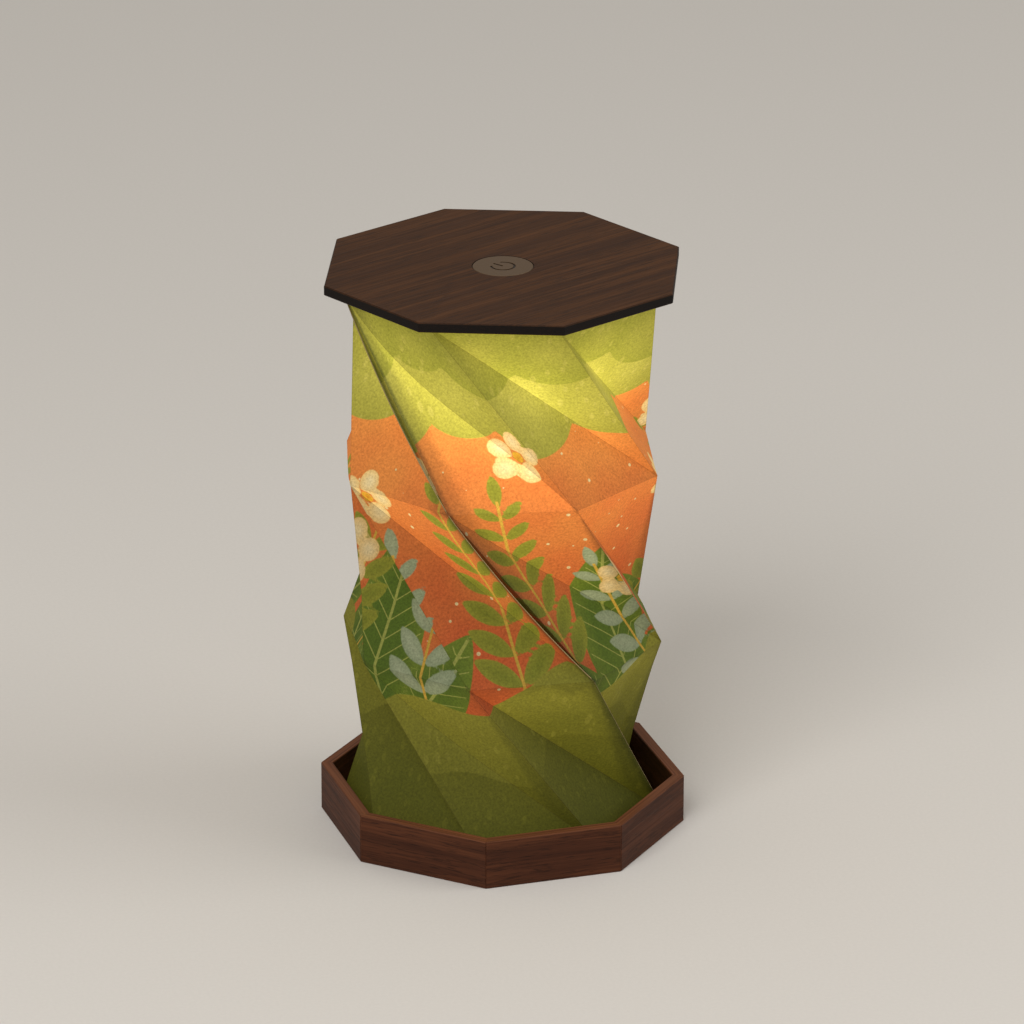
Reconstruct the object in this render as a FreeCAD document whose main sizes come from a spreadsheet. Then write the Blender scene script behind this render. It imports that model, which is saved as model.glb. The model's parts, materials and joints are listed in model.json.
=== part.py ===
"""Folding table lamp: an eight-sided wooden tray and lid, joined by one sheet of twist-folded paper.

The origin is the centre of the tray's underside, +Z is up, and the tray's flats are square to X and Y.
Lengths are in millimetres and angles in degrees. The lamp stands open, with its lid up.
"""

import FreeCAD, Part

import math
import os

import Sketcher

SIDES = 8
STEP_ANGLE = 360 / SIDES
HALF_STEP_ANGLE = STEP_ANGLE / 2
SCREW_COUNT = 3
CHIP_COUNT = 8

DRIVING_DIMENSIONS = {
    # Lid and tray, which close on each other
    "lamp_flats": 135,
    "lid_thickness": 4,
    "lid_edge_chamfer": 0.4,
    # Touch disc, flush in the lid
    "disc_diameter": 24,
    "disc_thickness": 2.4,
    "disc_clearance": 0.15,
    "disc_edge_chamfer": 0.3,
    "disc_ledge": 4,
    "engraving_depth": 0.25,
    "engraved_line": 0.9,
    "symbol_diameter": 10,
    "symbol_bar": 4.8,
    # Tray
    "tray_height": 20,
    "rail_thickness": 4.5,
    "rail_edge_chamfer": 0.35,
    "floor_thickness": 4,
    "floor_clearance": 0.1,
    "floor_opening": 40,
    # Paper shade: its corners' distance from the tray's, the height of each tier and its twist
    "shade_clearance": 3,
    "lower_tier": 76.6,
    "middle_tier": 72.6,
    "upper_tier": 76,
    "lower_twist_angle": 51.7,
    "middle_twist_angle": 50.6,
    "upper_twist_angle": 53.9,
    "paper_thickness": 0.35,
    "flap_depth": 9,
    "flap_clearance": 0.6,
    # Lamp housing under the lid
    "housing_diameter": 46,
    "housing_height": 14,
    "housing_wall": 1.5,
    "housing_base": 1.5,
    "diffuser_seat": 1.3,
    "screw_shank": 2,
    "screw_head": 3.6,
    "screw_head_height": 1.4,
    "screw_bite": 2.8,
    "screw_clearance": 0.1,
    "screw_recess": 0.3,
    "boss_wall": 0.5,
    "boss_gap": 1.1,
    # Stack inside the housing, from its base upwards
    "board_clearance": 0.3,
    "diffuser_thickness": 1.2,
    "spacer_height": 2.5,
    "spacer_wall": 1.5,
    "lamp_board_thickness": 1.2,
    "cell_end_margin": 3.3,
    "cell_side_margin": 6.3,
    "cell_edge_fillet": 1.2,
    "control_board_thickness": 1,
    "lid_gap": 1,
    "pad_diameter": 8,
    # Light-emitting chips
    "chip_length": 3.5,
    "chip_width": 2.8,
    "chip_height": 0.7,
    "chip_margin": 5.8,
    # Charging socket
    "socket_width": 9,
    "socket_depth": 3.3,
    "socket_fillet": 1.4,
    "socket_wall": 0.35,
    "socket_cavity_depth": 6.5,
    "socket_gap": 1.35,
    "socket_clearance": 0.15,
    "tongue_width": 6.7,
    "tongue_thickness": 0.7,
    "tongue_setback": 1.2,
    "board_tab_width": 11,
    "board_tab_margin": 0.4,
    # Link pins and board components
    "pin_diameter": 0.8,
    "pin_spacing": 2.5,
    "pin_margin": 1.2,
    "controller_side": 4,
    "controller_height": 0.9,
    "coil_side": 3,
    "coil_height": 1.6,
    "component_gap": 3,
}
TIERS = ("lower", "middle", "upper")

# Where the housing's three screws and the charging socket stand around the lid's own axis
FIRST_SCREW_ANGLE = 90
SOCKET_ANGLE = 270
# Which way the power symbol's bar points, and the gap that it leaves in its ring
SYMBOL_ANGLE = 280
SYMBOL_GAP_ANGLE = 75
# How much of the shade's edge a flap takes, and how much of that its inner edge keeps
FLAP_END_SHARE = 0.72
# Which of a circle's points is its centre, when a sketch ties it
CENTRE_INDEX = 3

Z_AXIS = FreeCAD.Vector(0, 0, 1)

doc = FreeCAD.newDocument("FoldingTableLamp")
sizes = doc.addObject("Spreadsheet::Sheet", "Sizes")
for row, (alias, number) in enumerate(DRIVING_DIMENSIONS.items(), start=1):
    sizes.set(f"A{row}", alias)
    sizes.set(f"B{row}", str(number))
    sizes.setAlias(f"B{row}", alias)
doc.recompute()

# Derived places, as formulas in the sheet's words
LID_UNDERSIDE = "(Sizes.floor_thickness + Sizes.lower_tier + Sizes.middle_tier + Sizes.upper_tier)"
LID_TURN = "-(Sizes.lower_twist_angle + Sizes.middle_twist_angle + Sizes.upper_twist_angle)"
HOUSING_BOTTOM = "(-Sizes.housing_height)"
DIFFUSER_BOTTOM = f"({HOUSING_BOTTOM} + Sizes.housing_base)"
SPACER_BOTTOM = f"({DIFFUSER_BOTTOM} + Sizes.diffuser_thickness)"
LAMP_BOARD_BOTTOM = f"({SPACER_BOTTOM} + Sizes.spacer_height)"
CELL_BOTTOM = f"({LAMP_BOARD_BOTTOM} + Sizes.lamp_board_thickness)"
CONTROL_BOARD_TOP = "(-Sizes.lid_gap - Sizes.coil_height)"
CONTROL_BOARD_BOTTOM = f"({CONTROL_BOARD_TOP} - Sizes.control_board_thickness)"
CELL_HEIGHT = f"({CONTROL_BOARD_BOTTOM} - {CELL_BOTTOM})"
DISC_BOTTOM = "(Sizes.lid_thickness - Sizes.disc_thickness)"
SCREW_HEAD_BOTTOM = f"({HOUSING_BOTTOM} + Sizes.screw_recess)"
SCREW_HEAD_TOP = f"({SCREW_HEAD_BOTTOM} + Sizes.screw_head_height)"
SHANK_HOLE_RADIUS = "(Sizes.screw_shank / 2 + Sizes.screw_clearance)"
HEAD_HOLE_RADIUS = "(Sizes.screw_head / 2 + Sizes.screw_clearance)"
BOSS_RADIUS = f"({HEAD_HOLE_RADIUS} + Sizes.boss_wall)"
HOUSING_INSIDE_RADIUS = "(Sizes.housing_diameter / 2 - Sizes.housing_wall)"
SCREW_CIRCLE_RADIUS = f"({HOUSING_INSIDE_RADIUS} - Sizes.boss_gap - {BOSS_RADIUS})"
BOARD_RADIUS = f"({SCREW_CIRCLE_RADIUS} - {BOSS_RADIUS} - Sizes.board_clearance)"
CELL_LENGTH = f"(2 * {BOARD_RADIUS} - 2 * Sizes.cell_end_margin)"
CELL_WIDTH = f"(2 * {BOARD_RADIUS} - 2 * Sizes.cell_side_margin)"
SOCKET_OFFSET = f"({HOUSING_INSIDE_RADIUS} - Sizes.socket_gap - Sizes.socket_depth / 2)"
TRAY_INSIDE_RADIUS = f"((Sizes.lamp_flats / 2 - Sizes.rail_thickness) / cos({HALF_STEP_ANGLE}))"
SHADE_RADIUS = f"({TRAY_INSIDE_RADIUS} - Sizes.shade_clearance)"


def size(alias):
    """The number that the sheet holds under this alias."""
    return float(sizes.get(alias))


def bind(thing, **formulas):
    """Ties properties of an object to formulas in the sheet's words."""
    for name, formula in formulas.items():
        thing.setExpression(name, formula)
    return thing


def shift(thing, x="0", y="0", z="0"):
    """Places an object by three formulas."""
    thing.setExpression("Placement.Base.x", x)
    thing.setExpression("Placement.Base.y", y)
    thing.setExpression("Placement.Base.z", z)
    return thing


def turn(thing, formula):
    """Turns an object about the Z axis by an angle formula."""
    thing.Placement = FreeCAD.Placement(thing.Placement.Base, FreeCAD.Rotation(Z_AXIS, STEP_ANGLE))
    thing.setExpression("Placement.Rotation.Angle", formula)
    return thing


def hang_from_lid(thing, label, z="0"):
    """Names a sub-part and sets its frame, turned with the lid, at a height z from the lid's underside."""
    thing.Label = label
    shift(thing, z=f"{LID_UNDERSIDE} + {z}")
    return turn(thing, LID_TURN)


def polar(radius, angle):
    """The x and y formulas of a point at a radius formula and an angle in degrees."""
    return f"{radius} * cos({angle})", f"{radius} * sin({angle})"


def cylinder(name, radius, height, z="0", x="0", y="0"):
    """An upright cylinder whose foot is at x, y, z."""
    rod = doc.addObject("Part::Cylinder", name)
    bind(rod, Radius=radius, Height=height)
    return shift(rod, x, y, z)


def block(name, length, width, height, z="0", x="0", y="0"):
    """A box centred on x, y that stands on z."""
    box = doc.addObject("Part::Box", name)
    bind(box, Length=length, Width=width, Height=height)
    return shift(box, f"{x} - {length} / 2", f"{y} - {width} / 2", z)


def cut(name, base, tool):
    """What is left of base when tool is taken away."""
    result = doc.addObject("Part::Cut", name)
    result.Base = base
    result.Tool = tool
    return result


def fuse(name, pieces):
    """One solid from pieces that overlap or meet."""
    result = doc.addObject("Part::MultiFuse", name)
    result.Shapes = pieces
    result.Refine = True
    return result


def group(name, pieces):
    """Separate solids under one name."""
    result = doc.addObject("Part::Compound", name)
    result.Links = pieces
    return result


def new_sketch(body, name):
    """A sketch on the body's own XY plane."""
    sketch = body.newObject("Sketcher::SketchObject", name)
    plane = next(f for f in body.Origin.OriginFeatures if f.Role == "XY_Plane")
    sketch.AttachmentSupport = (plane, [""])
    sketch.MapMode = "FlatFace"
    return sketch


def tie_point(sketch, edge, x, y, end=1):
    """Holds a point of an edge, usually its start, at two formulas from the sketch's origin."""
    for kind, formula in (("DistanceX", x), ("DistanceY", y)):
        place = float(sketch.evalExpression(formula))
        number = sketch.addConstraint(Sketcher.Constraint(kind, -1, 1, edge, end, place))
        sketch.setExpression(f"Constraints[{number}]", formula)


def draw_outline(sketch, corners):
    """A closed outline through corners, each a pair of formulas."""
    points = []
    for x, y in corners:
        place_x = float(sketch.evalExpression(x))
        place_y = float(sketch.evalExpression(y))
        points.append(FreeCAD.Vector(place_x, place_y, 0))
    first = sketch.GeometryCount
    for start, end in zip(points, points[1:] + points[:1]):
        sketch.addGeometry(Part.LineSegment(start, end))
    for number, (x, y) in enumerate(corners):
        following = (number + 1) % len(corners)
        joint = Sketcher.Constraint("Coincident", first + number, 2, first + following, 1)
        sketch.addConstraint(joint)
        tie_point(sketch, first + number, x, y)


def draw_circle(sketch, radius, x="0", y="0"):
    """A full circle with its radius and centre tied to formulas."""
    place_x = float(sketch.evalExpression(x))
    place_y = float(sketch.evalExpression(y))
    reach = float(sketch.evalExpression(radius))
    circle = Part.Circle(FreeCAD.Vector(place_x, place_y, 0), Z_AXIS, reach)
    edge = sketch.addGeometry(circle)
    number = sketch.addConstraint(Sketcher.Constraint("Radius", edge, reach))
    sketch.setExpression(f"Constraints[{number}]", radius)
    tie_point(sketch, edge, x, y, CENTRE_INDEX)


def octagon(flats, turned=0):
    """The corners of a regular outline, as formulas of its width across flats."""
    radius = f"{flats} / 2 / cos({HALF_STEP_ANGLE})"
    return [polar(radius, HALF_STEP_ANGLE + STEP_ANGLE * side + turned) for side in range(SIDES)]


def pad(body, sketch, name, length):
    """Raises a sketch along +Z by a length formula."""
    feature = body.newObject("PartDesign::Pad", name)
    feature.Profile = sketch
    feature.setExpression("Length", length)
    return feature


def pocket(body, sketch, name, depth):
    """Sinks a sketch on the XY plane into what lies above it, and checks that it cut something."""
    doc.recompute()
    before = body.Shape.Volume
    feature = body.newObject("PartDesign::Pocket", name)
    feature.Profile = sketch
    feature.Reversed = True
    feature.setExpression("Length", depth)
    doc.recompute()
    if not body.Shape.Volume < before:
        raise RuntimeError(f"{name} cuts nothing")
    return feature


def chamfer(body, name, width, chosen):
    """Bevels the edges of the body's last feature that a test chooses."""
    doc.recompute()
    base = body.Tip
    edges = base.Shape.Edges
    names = [f"Edge{number}" for number, edge in enumerate(edges, start=1) if chosen(edge)]
    feature = body.newObject("PartDesign::Chamfer", name)
    feature.Base = (base, names)
    feature.setExpression("Size", width)
    return feature


def near(first, second):
    """True where two lengths are the same to within rounding."""
    return math.isclose(first, second, abs_tol=1e-6)


def lid_panel():
    """The lid: an eight-sided board with a stepped hole for the disc and pilot holes for the screws."""
    body = doc.addObject("PartDesign::Body", "Lid")
    outline = new_sketch(body, "LidOutline")
    draw_outline(outline, octagon("Sizes.lamp_flats"))
    pad(body, outline, "LidBoard", "Sizes.lid_thickness")
    through = new_sketch(body, "LidThroughHole")
    draw_circle(through, "Sizes.disc_diameter / 2 - Sizes.disc_ledge")
    pocket(body, through, "LidThrough", "Sizes.lid_thickness")
    pilots = new_sketch(body, "LidPilotHoles")
    for number in range(SCREW_COUNT):
        place = polar(SCREW_CIRCLE_RADIUS, FIRST_SCREW_ANGLE + 360 / SCREW_COUNT * number)
        draw_circle(pilots, SHANK_HOLE_RADIUS, *place)
    pocket(body, pilots, "LidPilots", "Sizes.screw_bite + Sizes.screw_clearance")
    seat = new_sketch(body, "DiscSeatOutline")
    seat.setExpression("AttachmentOffset.Base.z", DISC_BOTTOM)
    draw_circle(seat, "Sizes.disc_diameter / 2 + Sizes.disc_clearance")
    pocket(body, seat, "DiscSeat", "Sizes.disc_thickness")
    thickness = size("lid_thickness")
    reach = size("lamp_flats") / 2

    def on_rim(edge):
        middle = edge.CenterOfMass
        level = near(middle.z, 0) or near(middle.z, thickness)
        return level and near(math.hypot(middle.x, middle.y), reach)

    chamfer(body, "LidEdge", "Sizes.lid_edge_chamfer", on_rim)
    return hang_from_lid(body, "lid_panel")


def power_symbol():
    """The tool that sinks a broken ring and a bar into the disc's face."""
    floor = "Sizes.lid_thickness - Sizes.engraving_depth"
    ring_radius = "Sizes.symbol_diameter / 2"
    outside = cylinder("RingOutside", ring_radius, "Sizes.engraving_depth", floor)
    inside = cylinder("RingInside", f"{ring_radius} - Sizes.engraved_line", "Sizes.engraving_depth", floor)
    for rod in (outside, inside):
        rod.Angle = 360 - SYMBOL_GAP_ANGLE
        turn(rod, f"{SYMBOL_GAP_ANGLE} / 2")
    ring = cut("BrokenRing", outside, inside)
    bar_size = ("Sizes.symbol_bar", "Sizes.engraved_line", "Sizes.engraving_depth")
    bar = block("SymbolBar", *bar_size, floor, x="Sizes.symbol_bar / 2")
    return turn(group("PowerSymbol", [ring, bar]), str(SYMBOL_ANGLE))


def touch_disc():
    """The touch disc, flush with the lid and engraved."""
    plate_height = "(Sizes.disc_thickness - Sizes.disc_edge_chamfer)"
    plate = cylinder("DiscPlate", "Sizes.disc_diameter / 2", plate_height, DISC_BOTTOM)
    crown = doc.addObject("Part::Cone", "DiscCrown")
    bind(crown, Radius1="Sizes.disc_diameter / 2", Height="Sizes.disc_edge_chamfer")
    bind(crown, Radius2="Sizes.disc_diameter / 2 - Sizes.disc_edge_chamfer")
    shift(crown, z="Sizes.lid_thickness - Sizes.disc_edge_chamfer")
    disc = fuse("DiscBlank", [plate, crown])
    return hang_from_lid(cut("Disc", disc, power_symbol()), "touch_disc")


def touch_pad():
    """The conductive block between the disc and the control board."""
    height = f"{DISC_BOTTOM} - {CONTROL_BOARD_TOP}"
    return hang_from_lid(cylinder("Pad", "Sizes.pad_diameter / 2", height), "touch_pad", CONTROL_BOARD_TOP)


def around_screws(name, radius, height, z):
    """One upright cylinder at each screw."""
    rods = []
    for number in range(SCREW_COUNT):
        x, y = polar(SCREW_CIRCLE_RADIUS, FIRST_SCREW_ANGLE + 360 / SCREW_COUNT * number)
        rods.append(cylinder(f"{name}{number}", radius, height, z, x, y))
    return rods


def lamp_housing():
    """The cup under the lid, with screw bosses, a round mouth for the light and a slot for the socket."""
    height = "Sizes.housing_height"
    outside = cylinder("HousingOutside", "Sizes.housing_diameter / 2", height, HOUSING_BOTTOM)
    inside_height = f"({height} - Sizes.housing_base)"
    inside = cylinder("HousingInside", HOUSING_INSIDE_RADIUS, inside_height, DIFFUSER_BOTTOM)
    cup = cut("HousingCup", outside, inside)
    bosses = around_screws("Boss", BOSS_RADIUS, height, HOUSING_BOTTOM)
    shell = fuse("HousingShell", [cup] + bosses)
    mouth_radius = f"{BOARD_RADIUS} - Sizes.diffuser_seat"
    mouth = cylinder("LightMouth", mouth_radius, "Sizes.housing_base", HOUSING_BOTTOM)
    slot_width = "(Sizes.socket_width + 2 * Sizes.socket_clearance)"
    slot_depth = "(Sizes.socket_depth + 2 * Sizes.socket_clearance)"
    place = polar(SOCKET_OFFSET, SOCKET_ANGLE)
    slot = block("SocketSlot", slot_width, slot_depth, "Sizes.housing_base", HOUSING_BOTTOM, *place)
    shank_holes = around_screws("ShankHole", SHANK_HOLE_RADIUS, height, HOUSING_BOTTOM)
    head_depth = f"({SCREW_HEAD_TOP} - {HOUSING_BOTTOM})"
    head_holes = around_screws("HeadHole", HEAD_HOLE_RADIUS, head_depth, HOUSING_BOTTOM)
    openings = fuse("HousingOpenings", [mouth, slot] + shank_holes + head_holes)
    return hang_from_lid(cut("Housing", shell, openings), "lamp_housing")


def housing_screws():
    """Three screws that hold the housing up against the lid."""
    head_height = "Sizes.screw_head_height"
    heads = around_screws("ScrewHead", "Sizes.screw_head / 2", head_height, SCREW_HEAD_BOTTOM)
    shank_height = f"(Sizes.screw_bite - {SCREW_HEAD_TOP})"
    shanks = around_screws("ScrewShank", "Sizes.screw_shank / 2", shank_height, SCREW_HEAD_TOP)
    screws = [fuse(f"Screw{number}", list(pair)) for number, pair in enumerate(zip(heads, shanks))]
    return hang_from_lid(group("Screws", screws), "housing_screws")


def diffuser():
    """The opal plate that closes the housing's mouth."""
    plate = cylinder("DiffuserPlate", BOARD_RADIUS, "Sizes.diffuser_thickness")
    return hang_from_lid(plate, "diffuser", DIFFUSER_BOTTOM)


def spacer_ring():
    """The white ring that keeps the lamp board off the diffuser."""
    height = "Sizes.spacer_height"
    outside = cylinder("SpacerOutside", BOARD_RADIUS, height, SPACER_BOTTOM)
    inside = cylinder("SpacerInside", f"{BOARD_RADIUS} - Sizes.spacer_wall", height, SPACER_BOTTOM)
    return hang_from_lid(cut("Spacer", outside, inside), "spacer_ring")


def lamp_board():
    """The round board that carries the light-emitting chips."""
    board = cylinder("LampBoardDisc", BOARD_RADIUS, "Sizes.lamp_board_thickness")
    return hang_from_lid(board, "lamp_board", LAMP_BOARD_BOTTOM)


def lamp_chips():
    """The light-emitting chips, in a circle on the lamp board's underside."""
    chips = []
    for number in range(CHIP_COUNT):
        x, y = polar(f"({BOARD_RADIUS} - Sizes.chip_margin)", 360 / CHIP_COUNT * number)
        foot = f"{LAMP_BOARD_BOTTOM} - Sizes.chip_height"
        chip_size = ("Sizes.chip_length", "Sizes.chip_width", "Sizes.chip_height")
        chips.append(block(f"Chip{number}", *chip_size, foot, x, y))
    return hang_from_lid(group("Chips", chips), "lamp_chips")


def battery_cell():
    """The flat rechargeable cell between the two boards, with rounded upright corners."""
    body = doc.addObject("PartDesign::Body", "Cell")
    outline = new_sketch(body, "CellOutline")
    outline.setExpression("AttachmentOffset.Base.z", CELL_BOTTOM)
    half_length = f"{CELL_LENGTH} / 2"
    half_width = f"{CELL_WIDTH} / 2"
    corners = [
        (f"-{half_length}", f"-{half_width}"),
        (half_length, f"-{half_width}"),
        (half_length, half_width),
        (f"-{half_length}", half_width),
    ]
    draw_outline(outline, corners)
    pad(body, outline, "CellBlock", CELL_HEIGHT)
    doc.recompute()
    base = body.Tip
    middle = float(outline.evalExpression(f"{CELL_BOTTOM} + {CELL_HEIGHT} / 2"))
    uprights = [
        f"Edge{number}"
        for number, edge in enumerate(base.Shape.Edges, start=1)
        if near(edge.CenterOfMass.z, middle)
    ]
    rounding = body.newObject("PartDesign::Fillet", "CellCorners")
    rounding.Base = (base, uprights)
    rounding.setExpression("Radius", "Sizes.cell_edge_fillet")
    return hang_from_lid(body, "battery_cell")


def control_board():
    """The round control board, with a tab that reaches out over the charging socket."""
    thickness = "Sizes.control_board_thickness"
    disc = cylinder("ControlDisc", BOARD_RADIUS, thickness, CONTROL_BOARD_BOTTOM)
    reach = f"({SOCKET_OFFSET} + Sizes.socket_depth / 2 + Sizes.board_tab_margin)"
    x, y = polar(f"{reach} / 2", SOCKET_ANGLE)
    tab = block("ControlTab", "Sizes.board_tab_width", reach, thickness, CONTROL_BOARD_BOTTOM, x, y)
    return hang_from_lid(fuse("ControlBoard", [disc, tab]), "control_board")


def board_components():
    """The touch controller and the charging coil on top of the control board."""
    controller_size = ("Sizes.controller_side", "Sizes.controller_side", "Sizes.controller_height")
    coil_size = ("Sizes.coil_side", "Sizes.coil_side", "Sizes.coil_height")
    inner = "(Sizes.pad_diameter / 2 + Sizes.component_gap)"
    controller_x = f"({inner} + Sizes.controller_side / 2)"
    coil_x = f"-({inner} + Sizes.coil_side / 2)"
    controller = block("Controller", *controller_size, CONTROL_BOARD_TOP, x=controller_x)
    coil = block("Coil", *coil_size, CONTROL_BOARD_TOP, x=coil_x)
    return hang_from_lid(group("Components", [controller, coil]), "board_components")


def link_pins():
    """Two pins that carry the supply from the control board down to the lamp board, beside the cell."""
    radius = "Sizes.pin_diameter / 2"
    y = f"({CELL_WIDTH} / 2 + Sizes.pin_margin)"
    pins = []
    for number, side in enumerate(("-", "")):
        x = f"{side}Sizes.pin_spacing / 2"
        pins.append(cylinder(f"Pin{number}", radius, CELL_HEIGHT, CELL_BOTTOM, x, y))
    return hang_from_lid(group("Pins", pins), "link_pins")


def charging_socket():
    """The charging socket: a rounded metal shell with a tongue inside, open at the bottom."""
    body = doc.addObject("PartDesign::Body", "Socket")
    outline = new_sketch(body, "SocketOutline")
    outline.setExpression("AttachmentOffset.Base.z", HOUSING_BOTTOM)
    centre_x, centre_y = polar(SOCKET_OFFSET, SOCKET_ANGLE)

    def corners(width, depth):
        return [
            (f"{centre_x} + {sx} * {width} / 2", f"{centre_y} + {sy} * {depth} / 2")
            for sx, sy in ((-1, -1), (1, -1), (1, 1), (-1, 1))
        ]

    draw_outline(outline, corners("Sizes.socket_width", "Sizes.socket_depth"))
    pad(body, outline, "SocketShell", f"{CONTROL_BOARD_BOTTOM} - {HOUSING_BOTTOM}")
    doc.recompute()
    base = body.Tip
    bottom = float(outline.evalExpression(HOUSING_BOTTOM))
    top = float(outline.evalExpression(CONTROL_BOARD_BOTTOM))
    uprights = [
        f"Edge{number}"
        for number, edge in enumerate(base.Shape.Edges, start=1)
        if near(edge.CenterOfMass.z, (bottom + top) / 2)
    ]
    rounding = body.newObject("PartDesign::Fillet", "SocketCorners")
    rounding.Base = (base, uprights)
    rounding.setExpression("Radius", "Sizes.socket_fillet")
    mouth = new_sketch(body, "SocketMouth")
    mouth.setExpression("AttachmentOffset.Base.z", HOUSING_BOTTOM)
    mouth_width = "(Sizes.tongue_width + 2 * Sizes.socket_wall)"
    draw_outline(mouth, corners(mouth_width, "(Sizes.socket_depth - 2 * Sizes.socket_wall)"))
    pocket(body, mouth, "SocketCavity", "Sizes.socket_cavity_depth")
    tongue = new_sketch(body, "TongueOutline")
    tongue.setExpression("AttachmentOffset.Base.z", f"{HOUSING_BOTTOM} + Sizes.tongue_setback")
    draw_outline(tongue, corners("Sizes.tongue_width", "Sizes.tongue_thickness"))
    pad(body, tongue, "Tongue", "Sizes.socket_cavity_depth")
    return hang_from_lid(body, "charging_socket")


def tray_rail(number):
    """One mitred rail of the tray, turned to its own side."""
    body = doc.addObject("PartDesign::Body", f"Rail{number}")
    body.Label = f"tray_rail_{number}"
    outline = new_sketch(body, f"RailOutline{number}")
    outer = "Sizes.lamp_flats / 2"
    inner = f"({outer} - Sizes.rail_thickness)"
    mitre = f"tan({HALF_STEP_ANGLE})"
    corners = [
        (inner, f"-{inner} * {mitre}"),
        (outer, f"-{outer} * {mitre}"),
        (outer, f"{outer} * {mitre}"),
        (inner, f"{inner} * {mitre}"),
    ]
    draw_outline(outline, corners)
    pad(body, outline, f"RailBoard{number}", "Sizes.tray_height")
    outer_place = size("lamp_flats") / 2
    height = size("tray_height")

    def shows(edge):
        middle = edge.CenterOfMass
        on_face = near(middle.x, outer_place)
        top_inside = near(middle.z, height) and near(middle.x, outer_place - size("rail_thickness"))
        return on_face or top_inside

    chamfer(body, f"RailEdges{number}", "Sizes.rail_edge_chamfer", shows)
    return turn(body, str(STEP_ANGLE * (number - 1)))


def tray_floor():
    """The tray's floor: an eight-sided board inside the rails, with a round opening under the lamp."""
    body = doc.addObject("PartDesign::Body", "Floor")
    body.Label = "tray_floor"
    outline = new_sketch(body, "FloorOutline")
    flats = "(Sizes.lamp_flats - 2 * Sizes.rail_thickness - 2 * Sizes.floor_clearance)"
    draw_outline(outline, octagon(flats))
    draw_circle(outline, "Sizes.floor_opening / 2")
    pad(body, outline, "FloorBoard", "Sizes.floor_thickness")
    return body


def glue_flaps(name, z):
    """Eight paper flaps folded inwards from an end of the shade, each tapered towards the middle."""
    outer = f"({SHADE_RADIUS} * cos({HALF_STEP_ANGLE}) - Sizes.paper_thickness - Sizes.flap_clearance)"
    half_edge = f"{outer} * tan({HALF_STEP_ANGLE}) * {FLAP_END_SHARE}"
    flaps = []
    for side in range(SIDES):
        flap = doc.addObject("Part::Wedge", f"{name}{side}")
        bind(flap, Ymin=f"{outer} - Sizes.flap_depth", Ymax=outer)
        bind(flap, Xmin=f"-{half_edge} * {FLAP_END_SHARE}", Xmax=f"{half_edge} * {FLAP_END_SHARE}")
        bind(flap, X2min=f"-{half_edge}", X2max=half_edge)
        bind(flap, Zmin="0", Zmax="Sizes.paper_thickness", Z2min="0", Z2max="Sizes.paper_thickness")
        shift(flap, z=z)
        flaps.append(turn(flap, str(STEP_ANGLE * side)))
    return group(f"{name}Group", flaps)


def lower_flaps():
    """The flaps glued to the tray floor."""
    flaps = glue_flaps("LowerFlap", "Sizes.floor_thickness")
    flaps.Label = "lower_glue_flaps"
    return flaps


def upper_flaps():
    """The flaps glued under the lid, turned with it."""
    flaps = glue_flaps("UpperFlap", "-Sizes.paper_thickness")
    return hang_from_lid(flaps, "upper_glue_flaps")


def ring_points(level, radius):
    """The corners of one ring of the shade: the first stands on the tray floor, the last meets the lid."""
    tiers = [size(f"{tier}_tier") for tier in TIERS]
    twists = [size(f"{tier}_twist_angle") for tier in TIERS]
    height = size("floor_thickness") + sum(tiers[:level])
    turned = HALF_STEP_ANGLE - sum(twists[:level])
    points = []
    for side in range(SIDES):
        angle = math.radians(turned + STEP_ANGLE * side)
        points.append(FreeCAD.Vector(radius * math.cos(angle), radius * math.sin(angle), height))
    return points


def flat_face(*corners):
    """A flat face through three or four corners."""
    return Part.Face(Part.makePolygon(list(corners) + [corners[0]]))


def paper_shade():
    """The folded sheet: in each tier, panels stand on the lower ring and hang from the upper one."""
    radius = float(sizes.evalExpression(SHADE_RADIUS))
    levels = range(len(TIERS) + 1)
    outside = [ring_points(level, radius) for level in levels]
    inside = [ring_points(level, radius - size("paper_thickness")) for level in levels]
    faces = []
    for skin in (outside, inside):
        for lower, upper in zip(skin, skin[1:]):
            for side in range(SIDES):
                following = (side + 1) % SIDES
                faces.append(flat_face(upper[side], lower[side], lower[following]))
                faces.append(flat_face(upper[side], lower[following], upper[following]))
    for level in (levels[0], levels[-1]):
        for side in range(SIDES):
            following = (side + 1) % SIDES
            outer_edge = (outside[level][side], outside[level][following])
            inner_edge = (inside[level][following], inside[level][side])
            faces.append(flat_face(*outer_edge, *inner_edge))
    shell = Part.Shell(faces)
    shell.sewShape()
    solid = Part.Solid(shell)
    if solid.Volume < 0:
        solid.reverse()
    sheet = doc.addObject("Part::Feature", "Shade")
    sheet.Shape = solid
    sheet.Placement = FreeCAD.Placement()
    sheet.Label = "paper_shade"
    return sheet


def check(parts):
    """Stops if any feature failed or any sub-part's shape is missing or broken."""
    for thing in doc.Objects:
        if {"Invalid", "Error"} & set(thing.State):
            raise RuntimeError(f"{thing.Name} failed: {thing.State}")
    for part in parts:
        if part.Shape.isNull() or not part.Shape.isValid() or not part.Shape.Solids:
            raise RuntimeError(f"{part.Label} has no sound shape")


def main():
    """Builds every sub-part, checks it and writes it to its own file."""
    parts = [tray_rail(number) for number in range(1, SIDES + 1)]
    parts += [tray_floor(), lower_flaps(), paper_shade(), upper_flaps()]
    parts += [lid_panel(), touch_disc(), touch_pad()]
    parts += [lamp_housing(), housing_screws(), diffuser(), spacer_ring(), lamp_board(), lamp_chips()]
    parts += [battery_cell(), link_pins(), control_board(), board_components(), charging_socket()]
    doc.recompute()
    check(parts)
    os.makedirs("parts", exist_ok=True)
    for part in parts:
        part.Shape.exportStep(f"parts/{part.Label}.step")
        print(part.Label, len(part.Shape.Solids), round(part.Shape.Volume, 2))


main()
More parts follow.
